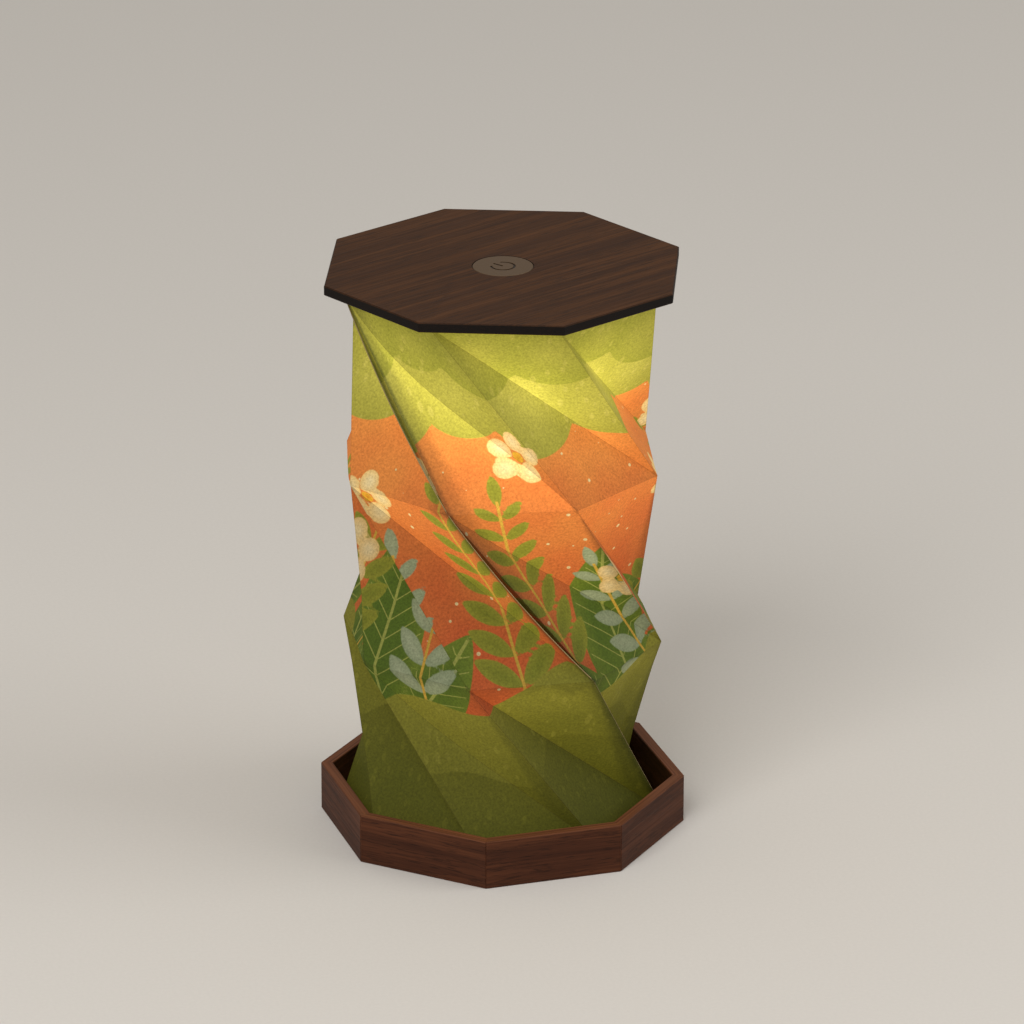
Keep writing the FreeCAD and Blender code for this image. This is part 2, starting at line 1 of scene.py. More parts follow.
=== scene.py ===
"""Looks of a folding table lamp: a printed paper shade between a walnut lid and a walnut tray."""

import json
import logging
import math
from collections.abc import Iterator
from contextlib import contextmanager
from dataclasses import dataclass, field
from enum import Enum
from itertools import cycle
from typing import Any, NamedTuple

import bpy
import numpy as np
from mathutils import Matrix, Vector, noise
from mathutils.bvhtree import BVHTree


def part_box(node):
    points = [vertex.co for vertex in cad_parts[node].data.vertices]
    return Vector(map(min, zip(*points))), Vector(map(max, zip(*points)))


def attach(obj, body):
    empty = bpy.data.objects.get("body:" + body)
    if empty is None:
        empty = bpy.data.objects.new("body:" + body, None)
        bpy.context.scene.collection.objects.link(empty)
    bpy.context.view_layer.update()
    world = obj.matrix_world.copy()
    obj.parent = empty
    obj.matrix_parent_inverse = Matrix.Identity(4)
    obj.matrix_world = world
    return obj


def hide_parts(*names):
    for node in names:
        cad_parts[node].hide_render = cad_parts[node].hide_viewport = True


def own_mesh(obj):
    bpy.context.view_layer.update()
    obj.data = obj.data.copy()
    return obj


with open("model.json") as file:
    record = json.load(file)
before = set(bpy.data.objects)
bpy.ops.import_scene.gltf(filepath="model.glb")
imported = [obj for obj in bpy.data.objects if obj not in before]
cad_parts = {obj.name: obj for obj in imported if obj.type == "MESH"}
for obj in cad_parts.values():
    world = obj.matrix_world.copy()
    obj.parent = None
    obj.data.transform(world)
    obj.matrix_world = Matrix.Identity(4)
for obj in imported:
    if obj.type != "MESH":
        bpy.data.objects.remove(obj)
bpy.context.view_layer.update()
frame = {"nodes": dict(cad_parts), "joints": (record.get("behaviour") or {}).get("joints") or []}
LOG = logging.getLogger("folding_lamp")
MM = 0.001
FULL_TURN = 2 * math.pi
# Corners nearer than this, in metres, are the same corner
SAME_CORNER = 1e-5
# Farther from a motif than any place on the sheet, in millimetres
OUT_OF_REACH = 900.0
# Most values of a noise pattern lie between these
NOISE_RANGE = (0.3, 0.7)
# Settings that each node of a kind has here
USUAL = {"Mix": {"data_type": "RGBA"}, "TexVoronoi": {"voronoi_dimensions": "2D"}}
LID_DROP = next(joint for joint in frame["joints"] if joint["name"] == "lid_drop")

Curve = tuple[tuple[float, float], ...]
Inputs = dict[str, Any] | tuple[Any, ...]
Socket = bpy.types.NodeSocket
Tree = bpy.types.NodeTree


class Panel(Enum):
    """The two panels of each fold: one stands on the ring below, the other hangs from the ring above."""

    STANDING = True
    HANGING = False


class Motif(Enum):
    """Maps of the print: distances to a motif's edge, or to a line inside a motif."""

    HILL_BACK = "print_hill_back"
    HILL_FRONT = "print_hill_front"
    CANOPY_BACK = "print_canopy_back"
    CANOPY_FRONT = "print_canopy_front"
    BROAD_LEAF = "print_broad_leaf"
    BROAD_SIDE = "print_broad_side"
    BROAD_VEIN = "print_broad_vein"
    TEAL_LEAF = "print_teal_leaf"
    GREEN_LEAF = "print_green_leaf"
    STEM_SIDE = "print_stem_side"
    STEM_NEAR = "print_stem_near"
    PETAL = "print_petal"
    HEART = "print_heart"


class Trace(Enum):
    """Maps of the sheet itself: its nearest fold, the light through it and its height when flat."""

    CREASE = "crease"
    GLOW = "glow"
    HEIGHT = "print_height"


def hex_colour(code: str) -> tuple[float, float, float, float]:
    """Turns an sRGB hex code into a linear colour.

    Args:
        code: Six hex digits after a hash.

    Returns:
        Red, green, blue and an alpha of one.
    """
    shares = [int(code[place:place + 2], 16) / 255 for place in (1, 3, 5)]
    red, green, blue = (s / 12.92 if s <= 0.04045 else ((s + 0.055) / 1.055) ** 2.4 for s in shares)
    return red, green, blue, 1.0


def add(tree: Tree, kind: str, inputs: Inputs, output: str = "", **settings: Any) -> Socket | None:
    """Adds one node with its settings, values and links.

    Args:
        tree: The material's node tree.
        kind: The node's type name, without the shader prefix.
        inputs: Sockets to link, hex colours or other values, by the inputs' names or in their order.
        output: The output to give back, where it isn't the first.
        settings: Properties of the node.

    Returns:
        The node's output, or none where it has none.
    """
    node = tree.nodes.new(f"ShaderNode{kind}")
    for name, value in {**USUAL.get(kind, {}), **settings}.items():
        setattr(node, name, value)
    if isinstance(inputs, dict):
        pairs = [(node.inputs[name], value) for name, value in inputs.items()]
    else:
        pairs = zip((socket for socket in node.inputs if socket.enabled), inputs)
    for socket, value in pairs:
        if isinstance(value, Socket):
            tree.links.new(value, socket)
        else:
            socket.default_value = hex_colour(value) if isinstance(value, str) else value
    if output:
        return node.outputs[output]
    return next((socket for socket in node.outputs if socket.enabled), None)


def per_metre(*sizes_mm: float) -> tuple[float, ...]:
    """Pattern scales that make features of these sizes in millimetres."""
    return tuple(1 / (size * MM) for size in sizes_mm)


def curve_at(places: np.ndarray, curve: Curve) -> np.ndarray:
    """Values of a curve at these places."""
    return np.interp(places, *zip(*curve))


def values_of(items: Any, name: str, width: int = 1, kind: type = np.float32) -> np.ndarray:
    """Reads a property of all points, corners or map entries of a mesh.

    Args:
        items: The points, corners or entries.
        name: The property.
        width: How many numbers it has.
        kind: The numbers' type.

    Returns:
        One row per item.
    """
    values = np.zeros((len(items), width), kind)
    items.foreach_get(name, values.ravel())
    return values


def corner_points(mesh: bpy.types.Mesh) -> np.ndarray:
    """The number of the point at each corner of each face."""
    return values_of(mesh.loops, "vertex_index", kind=np.int32)[:, 0]


@contextmanager
def editing() -> Iterator[None]:
    """Opens the active piece for editing and closes it afterwards."""
    bpy.ops.object.mode_set(mode="EDIT")
    yield
    bpy.ops.object.mode_set(mode="OBJECT")


def dress(node: str, material: bpy.types.Material) -> None:
    """Gives a node of the frame its finish.

    Args:
        node: The node's name.
        material: The finish.
    """
    slots = frame["nodes"][node].data.materials
    slots.clear()
    slots.append(material)
    LOG.info("dressed %s in %s", node, material.name)


@dataclass(frozen=True)
class Finish:
    """A surface that nodes draw."""

    name: str

    def draw(self, tree: Tree) -> Inputs:
        """Adds the pattern's nodes and gives the surface's inputs."""
        raise NotImplementedError

    def build(self) -> bpy.types.Material:
        """Makes the material.

        Returns:
            The material, ready for a piece.
        """
        material = bpy.data.materials.new(self.name)
        material.use_nodes = True
        tree = material.node_tree
        tree.nodes.clear()
        surface = add(tree, "BsdfPrincipled", self.draw(tree))
        add(tree, "OutputMaterial", {"Surface": surface})
        return material


@dataclass(frozen=True)
class Walnut(Finish):
    """Oiled walnut: warm dark brown, with growth bands, dark lines and short open pores in the grain."""

    dark: str
    light: str
    pore: str
    grain_angle: float
    shift: float
    cut_edge: str = ""
    # A paler colour for level faces: painted light on the top of a piece
    top: str = ""
    # Length and width of each kind of streak, with the pores wider than the real 0.2 mm so that they show
    band_mm: tuple[float, float] = (220.0, 4.5)
    fibre_mm: tuple[float, float] = (60.0, 0.8)
    pore_mm: tuple[float, float] = (9.0, 0.5)
    # Noise values between which fibres and pores darken, and by how much
    fibre_dark: tuple[float, float, float] = (0.35, 0.7, 0.6)
    pore_dark: tuple[float, float, float] = (0.6, 0.7, 0.7)
    # Late wood lies where the growth bands have this value
    late_wood_at: float = 0.5
    late_wood_width: float = 0.012
    late_wood_dark: float = 0.45
    # How level a face is where it turns from an edge into a top
    edge_turn: tuple[float, float] = (0.5, 0.9)
    roughness: tuple[float, float] = (0.5, 0.68)
    ior: float = 1.5
    sheen: float = 0.14
    relief_mm: float = 0.12
    bump: float = 0.3

    def grain(self, tree: Tree) -> list[Socket]:
        """Draws the streaks that run along the wood.

        Args:
            tree: The material's node tree.

        Returns:
            Growth bands, fibres and pores.
        """
        place = add(tree, "TexCoord", (), "Object")
        turn = (0, 0, -math.radians(self.grain_angle))
        turned = add(tree, "Mapping", {"Vector": place, "Rotation": turn})
        moved = add(tree, "Mapping", {"Vector": turned, "Location": (self.shift,) * 3})
        kinds = (
            (self.band_mm, {"Detail": 5.0, "Roughness": 0.6, "Distortion": 0.5}),
            (self.fibre_mm, {"Detail": 3.0}),
            (self.pore_mm, {"Detail": 1.0}),
        )
        streaks = []
        for (length, width), look in kinds:
            drawn_out = add(tree, "Mapping", {"Vector": moved, "Scale": per_metre(length, width, width)})
            streaks.append(add(tree, "TexNoise", {"Vector": drawn_out, "Scale": 1.0, **look}))
        return streaks

    def draw(self, tree: Tree) -> Inputs:
        """Draws the wood.

        Args:
            tree: The material's node tree.

        Returns:
            Inputs of the surface.
        """
        band, fibre, speck = self.grain(tree)
        (low, high, most), (least_speck, most_speck, open_pore) = self.fibre_dark, self.pore_dark
        line = add(tree, "MapRange", (fibre, low, high, 0, most))
        pore = add(tree, "MapRange", (speck, least_speck, most_speck, 0, open_pore))
        tone = add(tree, "MapRange", (band, *NOISE_RANGE))
        wood = add(tree, "Mix", (tone, self.dark, self.light))
        lined = add(tree, "Mix", (line, wood, self.dark))
        # Late wood, a dark line wherever a growth band turns
        turning = add(tree, "Math", (band, self.late_wood_at, self.late_wood_width), operation="COMPARE")
        late = add(tree, "Math", (turning, self.late_wood_dark), operation="MULTIPLY")
        marks = add(tree, "Math", (late, pore), operation="MAXIMUM")
        colour = add(tree, "Mix", (marks, lined, self.pore))
        # Steep faces take the charred colour of a cut edge; where a top colour is given, level faces take
        # it instead, as painted light
        if self.cut_edge or self.top:
            facing = add(tree, "NewGeometry", (), "True Normal")
            upward = add(tree, "SeparateXYZ", (facing,), "Z")
            steep = add(tree, "Math", (upward,), operation="ABSOLUTE")
            level = add(tree, "MapRange", (steep, *self.edge_turn))
            other = add(tree, "Mix", (line, self.cut_edge or self.top, self.pore))
            sides = (other, colour) if self.cut_edge else (colour, other)
            colour = add(tree, "Mix", (level, *sides))
        gloss = add(tree, "MapRange", (fibre, 0, 1, *self.roughness))
        relief = add(tree, "Math", (fibre, pore), operation="SUBTRACT")
        pressed = {"Height": relief, "Strength": self.bump, "Distance": self.relief_mm * MM}
        return {
            "Base Color": colour, "Roughness": gloss, "Normal": add(tree, "Bump", pressed),
            "IOR": self.ior, "Specular IOR Level": self.sheen,
        }


@dataclass(frozen=True)
class FineFinish(Finish):
    """A plain made surface whose grit, weave or moulding marks give it a slight mottle and relief."""

    colour: str
    mottle: str
    roughness: float
    grit_mm: float
    metallic: float = 0.0
    relief_mm: float = 0.02
    light: float = 0.0
    gloss_spread: float = 0.06
    mottle_range: tuple[float, float] = NOISE_RANGE
    detail: float = 3.0
    bump: float = 0.3

    def draw(self, tree: Tree) -> Inputs:
        """Draws the mottle.

        Args:
            tree: The material's node tree.

        Returns:
            Inputs of the surface.
        """
        place = add(tree, "TexCoord", (), "Object")
        scaled = add(tree, "Mapping", {"Vector": place, "Scale": per_metre(*(self.grit_mm,) * 3)})
        mark = add(tree, "TexNoise", {"Vector": scaled, "Scale": 1.0, "Detail": self.detail})
        share = add(tree, "MapRange", (mark, *self.mottle_range))
        rough = (self.roughness - self.gloss_spread, self.roughness + self.gloss_spread)
        relief = {"Height": mark, "Strength": self.bump, "Distance": self.relief_mm * MM}
        inputs = {
            "Base Color": add(tree, "Mix", (share, self.colour, self.mottle)),
            "Roughness": add(tree, "MapRange", (mark, 0, 1, *rough)),
            "Normal": add(tree, "Bump", relief),
            "Metallic": self.metallic,
        }
        if self.light:
            inputs.update({"Emission Color": self.mottle, "Emission Strength": self.light})
        return inputs


@dataclass(frozen=True, kw_only=True)
class EngravedPlate(FineFinish):
    """A finely marked plate whose engraved lines are filled with another colour."""

    engraving: str
    # The plate's height and the lines' depth, in millimetres
    top: float
    depth: float

    def draw(self, tree: Tree) -> Inputs:
        """Draws the plate's face and the filled engraving.

        Args:
            tree: The material's node tree.

        Returns:
            Inputs of the surface.
        """
        inputs = super().draw(tree)
        place = add(tree, "TexCoord", (), "Object")
        height = add(tree, "SeparateXYZ", (place,), "Z")
        walls = ((self.top - self.depth) * MM, (self.top - self.depth / 4) * MM)
        face = add(tree, "MapRange", (height, *walls))
        inputs["Base Color"] = add(tree, "Mix", (face, self.engraving, inputs["Base Color"]))
        return inputs


class Ink(NamedTuple):
    """One printed layer: its colour at the motif's edge and deep inside, and flecks painted over it."""

    motif: Motif
    edge: str
    inner: str
    fade_mm: float
    fleck: str = ""


class Line(NamedTuple):
    """A printed line: half its width, how near its motif's edge it comes, and its colour."""

    half_mm: float
    reach_mm: float
    colour: str


class Speckle(NamedTuple):
    """Scattered spots: a cell's size and angle, and the largest spot's radius as a share of its cell."""

    cell_mm: tuple[float, float]
    turn: float
    size: float


@dataclass(frozen=True)
class PrintedPaper(Finish):
    """Printed translucent paper: matte, mottled by its fibres, and lit through from the lamp inside."""

    # Ink soaked into thin paper: soft clouded colour that glows where the lamp is near, with no shine
    name: str = "printed_translucent_paper"
    ground: tuple[str, str] = ("#e25f37", "#f09c52")
    inks: tuple[Ink, ...] = (
        Ink(Motif.BROAD_LEAF, "#7f9636", "#63802a", 9.0),
        Ink(Motif.TEAL_LEAF, "#a9bb9a", "#bccbac", 4.0),
        Ink(Motif.GREEN_LEAF, "#a3a73e", "#8b9633", 4.0),
        Ink(Motif.HILL_BACK, "#a4a43f", "#8d8f31", 30.0, "#b3b24c"),
        Ink(Motif.HILL_FRONT, "#84862c", "#767b25", 26.0, "#969835"),
        Ink(Motif.CANOPY_BACK, "#adaf4c", "#c0c15f", 24.0, "#cdcb6e"),
        Ink(Motif.CANOPY_FRONT, "#9ea443", "#b3b554", 20.0, "#c3c264"),
        Ink(Motif.PETAL, "#ffdf9c", "#fff0c4", 4.0),
        Ink(Motif.HEART, "#f4c544", "#e69a32", 2.5),
    )
    dot: str = "#fbe7b4"
    midrib: Line = Line(0.5, -0.5, "#b3bd62")
    side_vein: Line = Line(0.15, -1.2, "#b3bd62")
    stem: Line = Line(0.45, 3.0, "#e9c152")
    # Dark colour of the painted shade along the folds
    crease_shade_colour: str = "#4a3416"
    lamp_tint: str = "#ffebc4"
    # Shares of the colour that the room's light and the lamp's light bring out
    reflect: float = 0.22
    strength: float = 1.27
    dots: Speckle = Speckle((12, 12), 20, 0.085)
    flecks: Speckle = Speckle((4.2, 8.5), 32, 0.34)
    fleck_share: float = 0.4
    # Cells with less chance than this stay empty
    spot_chance: float = 0.35
    vein_mm: float = 8.0
    cloud_mm: float = 40.0
    cloud_gain: float = 1.8
    # Heights on the flat sheet between which the ground lightens, and from what share to what share
    ground_rise: tuple[float, ...] = (50.0, 230.0, -0.4, 0.6)
    ink_edge_mm: float = 0.25
    line_edge_mm: float = 0.3
    # Painted shade along the folds: none this far from a fold, the most this near, and at most this share
    # of the shade colour
    crease_shading: tuple[float, ...] = (0.45, 0.1, 0, 0.36)
    # Fibres, drawn 0.9 mm coarse so that they show, and how much they thin and thicken the paper
    fibre_mm: float = 0.9
    fibre_shares: tuple[float, ...] = (0.25, 0.75, 0.7, 1.3)
    relief_mm: float = 0.1
    bump: float = 0.35
    roughness: float = 0.85
    sheen: float = 0.2

    def speckle(self, tree: Tree, flat: Socket, spots: Speckle) -> Socket:
        """Scatters small round or long spots, at most one in each cell.

        Args:
            tree: The material's node tree.
            flat: Flat places on the sheet.
            spots: Their cells and size.

        Returns:
            One inside a spot and zero elsewhere.
        """
        turn = (0, 0, math.radians(spots.turn))
        scale = per_metre(*spots.cell_mm, spots.cell_mm[0])
        cells = add(tree, "Mapping", {"Vector": flat, "Rotation": turn, "Scale": scale})
        distance = add(tree, "TexVoronoi", {"Vector": cells, "Scale": 1.0})
        chance = add(tree, "SeparateColor", (distance.node.outputs["Color"],))
        reach = add(tree, "MapRange", (chance, self.spot_chance, 1, 0, spots.size))
        inside = add(tree, "Math", (reach, distance), operation="SUBTRACT")
        return add(tree, "MapRange", (inside, 0, spots.size / 4))

    def print_ink(
        self, tree: Tree, under: Socket, ink: Ink, depth: Socket, cloud: Socket, fleck: Socket
    ) -> Socket:
        """Prints one layer over the others.

        Args:
            tree: The material's node tree.
            under: The colour so far.
            ink: The layer.
            depth: Signed distance to the motif's edge, in millimetres.
            cloud: Soft clouds of ink.
            fleck: Where flecks lie.

        Returns:
            The colour with the layer on it.
        """
        inward = add(tree, "MapRange", (depth, 0, -ink.fade_mm))
        clouded = add(tree, "Math", (inward, cloud), operation="MULTIPLY")
        share = add(tree, "Math", (clouded, self.cloud_gain), operation="MULTIPLY", use_clamp=True)
        colour = add(tree, "Mix", (share, ink.edge, ink.inner))
        if ink.fleck:
            colour = add(tree, "Mix", (fleck, colour, ink.fleck))
        inside = add(tree, "MapRange", (depth, self.ink_edge_mm, -self.ink_edge_mm))
        return add(tree, "Mix", (inside, under, colour))

    def print_line(self, tree: Tree, under: Socket, line: Line, side: Socket, near: Socket) -> Socket:
        """Prints a thin line along a stem, a leaf's middle or a vein.

        Args:
            tree: The material's node tree.
            under: The colour so far.
            line: Its width, end and colour.
            side: Signed distance to the line, in millimetres.
            near: Distance that keeps the line to its motif, in millimetres.

        Returns:
            The colour with the line on it.
        """
        offset = add(tree, "Math", (side,), operation="ABSOLUTE")
        thin = add(tree, "MapRange", (offset, line.half_mm + self.line_edge_mm, line.half_mm))
        kept = add(tree, "MapRange", (near, line.reach_mm, line.reach_mm - 2 * self.line_edge_mm))
        drawn = add(tree, "Math", (thin, kept), operation="MULTIPLY")
        return add(tree, "Mix", (drawn, under, line.colour))

    def print_all(self, tree: Tree, maps: dict[Enum, Socket]) -> Socket:
        """Prints the ground, the layers and the lines on them, and paints shade along the folds.

        Args:
            tree: The material's node tree.
            maps: What the sheet carries.

        Returns:
            The printed sheet's colour.
        """
        flat = add(tree, "UVMap", (), uv_map="flat")
        wide = add(tree, "Mapping", {"Vector": flat, "Scale": per_metre(*(self.cloud_mm,) * 3)})
        cloud = add(tree, "TexNoise", {"Vector": wide, "Scale": 1.0, "Detail": 2.0})
        flecks = self.speckle(tree, flat, self.flecks)
        faint = add(tree, "Math", (flecks, self.fleck_share), operation="MULTIPLY")
        rise = add(tree, "MapRange", (maps[Trace.HEIGHT], *self.ground_rise))
        share = add(tree, "Math", (rise, cloud), operation="ADD", use_clamp=True)
        ground = add(tree, "Mix", (share, *self.ground))
        colour = add(tree, "Mix", (self.speckle(tree, flat, self.dots), ground, self.dot))
        for ink in self.inks:
            near = maps[ink.motif]
            colour = self.print_ink(tree, colour, ink, near, cloud, faint)
            if ink.motif is Motif.BROAD_LEAF:
                colour = self.print_line(tree, colour, self.midrib, maps[Motif.BROAD_SIDE], near)
                vein = add(tree, "Math", (maps[Motif.BROAD_VEIN], self.vein_mm / 2), operation="PINGPONG")
                colour = self.print_line(tree, colour, self.side_vein, vein, near)
            if ink.motif is Motif.GREEN_LEAF:
                stems = maps[Motif.STEM_SIDE], maps[Motif.STEM_NEAR]
                colour = self.print_line(tree, colour, self.stem, *stems)
        # Painted shade along the folds, darkest at a fold line
        crease_shading = add(tree, "MapRange", (maps[Trace.CREASE], *self.crease_shading))
        return add(tree, "Mix", (crease_shading, colour, self.crease_shade_colour))

    def draw(self, tree: Tree) -> Inputs:
        """Draws the print, the fibres and the light that comes through.

        Args:
            tree: The material's node tree.

        Returns:
            Inputs of the surface.
        """
        maps = {
            item: add(tree, "Attribute", (), "Fac", attribute_name=item.value) for item in (*Motif, *Trace)
        }
        colour = self.print_all(tree, maps)
        place = add(tree, "TexCoord", (), "Object")
        fine = add(tree, "Mapping", {"Vector": place, "Scale": per_metre(*(self.fibre_mm,) * 3)})
        fibre = add(tree, "TexNoise", {"Vector": fine, "Scale": 1.0, "Detail": 3.0, "Roughness": 0.7})
        mottle = add(tree, "MapRange", (fibre, *self.fibre_shares))
        paper = add(tree, "VectorMath", (colour, mottle), operation="SCALE")
        base = add(tree, "VectorMath", (paper, self.reflect), operation="SCALE")
        lit = add(tree, "VectorMath", (paper, maps[Trace.GLOW]), operation="SCALE")
        through = add(tree, "VectorMath", (lit, hex_colour(self.lamp_tint)[:3]), operation="MULTIPLY")
        relief = {"Height": fibre, "Strength": self.bump, "Distance": self.relief_mm * MM}
        return {
            "Base Color": base, "Roughness": self.roughness, "Specular IOR Level": self.sheen,
            "Normal": add(tree, "Bump", relief),
            "Emission Color": through, "Emission Strength": self.strength,
        }


class PrintMaps:
    """Distances from flat places of the sheet to a print's motifs, in millimetres, negative inside."""

    def __init__(self, flat: np.ndarray) -> None:
        """Starts with every motif out of reach of these flat places."""
        self.x, self.y = flat.T
        self.found = {motif: np.full(len(flat), OUT_OF_REACH) for motif in Motif}

    def along(self, foot: tuple[float, float], angle: float) -> tuple[np.ndarray, np.ndarray]:
        """Measures places along and beside a line.

        Args:
            foot: Where the line starts.
            angle: Where the line points, in degrees.

        Returns:
            Distances along the line and beside it.
        """
        ahead, across = math.cos(math.radians(angle)), math.sin(math.radians(angle))
        x, y = self.x - foot[0], self.y - foot[1]
        return x * ahead + y * across, y * ahead - x * across

    @staticmethod
    def leaf(reach: np.ndarray, side: np.ndarray, length: float, width: float) -> np.ndarray:
        """Signed distance to a pointed leaf.

        Args:
            reach: Distances along the leaf.
            side: Distances beside its middle.
            length: From foot to tip.
            width: At the middle.

        Returns:
            Distances, negative inside.
        """
        radius = (length ** 2 + width ** 2) / (4 * width)
        offset = np.abs(side) + radius - width / 2
        return np.hypot(reach - length / 2, offset) - radius

    def lay(self, motif: Motif, shape: np.ndarray) -> None:
        """Adds a shape to a motif's map."""
        self.found[motif] = np.minimum(self.found[motif], shape)

    def lay_lined(self, motif: Motif, shape: np.ndarray, lines: dict[Motif, np.ndarray]) -> None:
        """Adds a shape, and its lines wherever it is the nearest of its kind.

        Args:
            motif: The shape's map.
            shape: Signed distances to it.
            lines: Distances to its lines, by their maps.
        """
        nearer = shape < self.found[motif]
        for line, distances in lines.items():
            self.found[line] = np.where(nearer, distances, self.found[line])
        self.lay(motif, shape)


class Row(NamedTuple):
    """Like motifs side by side: the first one's place, their spacing, and what varies among them."""

    start: float
    pitch: float
    turns: tuple[tuple[Any, ...], ...] = ()


class Hill(NamedTuple):
    """Rolling ground: its mean height, and waves that each have a height, a length and a phase."""

    motif: Motif
    height: float
    waves: tuple[tuple[float, float, float], ...]


class Canopy(NamedTuple):
    """Foliage with a scalloped lower edge: the scallops' height, their row and their mean radius."""

    motif: Motif
    base: float
    row: Row
    radius: float


@dataclass(frozen=True)
class MeadowPrint:
    """A plain garden print in flat millimetres: foliage above, rolling ground below, plants between."""

    left: float = -140.0
    right: float = 420.0
    hills: tuple[Hill, ...] = (
        Hill(Motif.HILL_BACK, 82.0, ((11, 170, 0.6), (5, 67, 0))),
        Hill(Motif.HILL_FRONT, 46.0, ((10, 128, 2.2), (4, 49, 1))),
    )
    # Turns heights above a slope into distances from it
    hill_slope: float = 0.8
    canopies: tuple[Canopy, ...] = (
        Canopy(Motif.CANOPY_BACK, 222.0, Row(0, 37), 24),
        Canopy(Motif.CANOPY_FRONT, 246.0, Row(0, 31), 19),
    )
    scallop_change: float = 5.0
    scallop_step: float = 2.3
    # Clumps of broad leaves: the sway of each clump, and each leaf's lean and length
    clumps: Row = Row(30, 94, ((0, 4, 8),))
    clump_foot: float = 42.0
    clump_leaves: Curve = ((58, 84), (93, 108), (129, 80))
    broad_width: float = 0.34
    vein_slope: float = 0.9
    # Sprigs: each one's height, lean, length and colour, and its leaves' sizes and turn
    sprigs: Row = Row(
        6, 47, ((66, 75, 84), (82, 91, 100, 109), (74, 108, 91), (Motif.GREEN_LEAF, Motif.TEAL_LEAF))
    )
    leaf_pitch: float = 13.0
    leaf_length: float = 24.0
    leaf_taper: float = 0.5
    leaf_width: float = 0.38
    leaf_turn: float = 48.0
    tip_room: float = 0.6
    tip: tuple[float, float] = (14, 5.5)
    # Blossoms: each one's height and size, and its petals and heart as shares of that size
    blossoms: Row = Row(11, 41, ((138, 158, 196, 129, 167, 187), (6.5, 8.5, 7.8333, 7.1667)))
    petals: int = 5
    petal_radius: float = 0.62
    petal_squeeze: float = 1.1
    heart_radius: float = 0.34
    blossom_turn: float = 8.0

    def stand(self, row: Row) -> Iterator[tuple[Any, ...]]:
        """Sets out a row of motifs.

        Args:
            row: The row.

        Returns:
            Each motif's place across the sheet, with what varies there.
        """
        count = int((self.right - self.left) / row.pitch)
        places = (self.left + row.start + row.pitch * number for number in range(count))
        return zip(places, *(cycle(values) for values in row.turns))

    def draw(self, flat: np.ndarray) -> dict[Motif, np.ndarray]:
        """Draws the print's maps.

        Args:
            flat: Flat places on the sheet, in millimetres.

        Returns:
            One distance per map and place, negative inside a motif.
        """
        maps = PrintMaps(flat)
        for hill in self.hills:
            roll = sum(rise * np.sin(FULL_TURN * maps.x / span + lag) for rise, span, lag in hill.waves)
            maps.lay(hill.motif, self.hill_slope * (maps.y - hill.height - roll))
        for motif, base, row, radius in self.canopies:
            maps.lay(motif, base - maps.y)
            for number, (middle,) in enumerate(self.stand(row)):
                size = radius + self.scallop_change * math.sin(self.scallop_step * number)
                maps.lay(motif, np.hypot(maps.x - middle, maps.y - base) - size)
        for foot, sway in self.stand(self.clumps):
            self.draw_clump(maps, (foot, self.clump_foot), sway)
        for foot, height, lean, length, motif in self.stand(self.sprigs):
            self.draw_sprig(maps, motif, (foot, height), lean, length)
        for middle, height, size in self.stand(self.blossoms):
            self.draw_blossom(maps, (middle, height), size)
        return maps.found

    def draw_clump(self, maps: PrintMaps, foot: tuple[float, float], sway: float) -> None:
        """Adds a clump of broad leaves with their veins.

        Args:
            maps: The print's maps.
            foot: Where its leaves start.
            sway: How far they lean over to the right, in degrees.
        """
        for lean, length in self.clump_leaves:
            reach, side = maps.along(foot, lean - sway)
            shape = maps.leaf(reach, side, length, self.broad_width * length)
            vein = reach - self.vein_slope * np.abs(side)
            maps.lay_lined(Motif.BROAD_LEAF, shape, {Motif.BROAD_SIDE: side, Motif.BROAD_VEIN: vein})

    def draw_sprig(
        self, maps: PrintMaps, motif: Motif, foot: tuple[float, float], lean: float, length: float
    ) -> None:
        """Adds one sprig's stem and its paired leaves.

        Args:
            maps: The print's maps.
            motif: The map of its leaves.
            foot: Where its stem starts.
            lean: Where its stem points, in degrees.
            length: The stem's length.
        """
        reach, side = maps.along(foot, lean)
        near = np.hypot(np.maximum(np.maximum(-reach, reach - length), 0), side)
        maps.lay_lined(Motif.STEM_NEAR, near, {Motif.STEM_SIDE: side})
        ahead, up = math.cos(math.radians(lean)), math.sin(math.radians(lean))
        pairs = int(length / self.leaf_pitch)
        for pair in range(pairs):
            share = (pair + 1) / (pairs + self.tip_room)
            size = self.leaf_length * (1 - self.leaf_taper * share)
            root = (foot[0] + ahead * length * share, foot[1] + up * length * share)
            for turn in (-self.leaf_turn, self.leaf_turn):
                maps.lay(motif, maps.leaf(*maps.along(root, lean + turn), size, self.leaf_width * size))
        maps.lay(motif, maps.leaf(reach - length, side, *self.tip))

    def draw_blossom(self, maps: PrintMaps, middle: tuple[float, float], size: float) -> None:
        """Adds one blossom.

        Args:
            maps: The print's maps.
            middle: Its middle.
            size: From its middle to a petal's middle.
        """
        for petal in range(self.petals):
            reach, side = maps.along(middle, 90 + 360 / self.petals * petal + self.blossom_turn * size)
            shape = np.hypot(reach - size, self.petal_squeeze * side) - self.petal_radius * size
            maps.lay(Motif.PETAL, shape)
        heart = np.hypot(maps.x - middle[0], maps.y - middle[1]) - self.heart_radius * size
        maps.lay(Motif.HEART, heart)


class FoldPlaces(NamedTuple):
    """Where places of the sheet lie among its folds, with distances in millimetres."""

    tier: np.ndarray
    column: np.ndarray
    # Shares along the column and up the tier
    share: np.ndarray
    up: np.ndarray
    crease: np.ndarray
    # Distances from the seam, to the right and to the left round the shade
    right: np.ndarray
    left: np.ndarray
    on_tab: np.ndarray

    def on_fold(self, tier: int, column: int) -> np.ndarray:
        """Whether each place is on one fold."""
        return (self.tier == tier) & (self.column == column)

    @property
    def standing(self) -> np.ndarray:
        """Whether each place is on a standing panel."""
        return self.share + self.up < 1


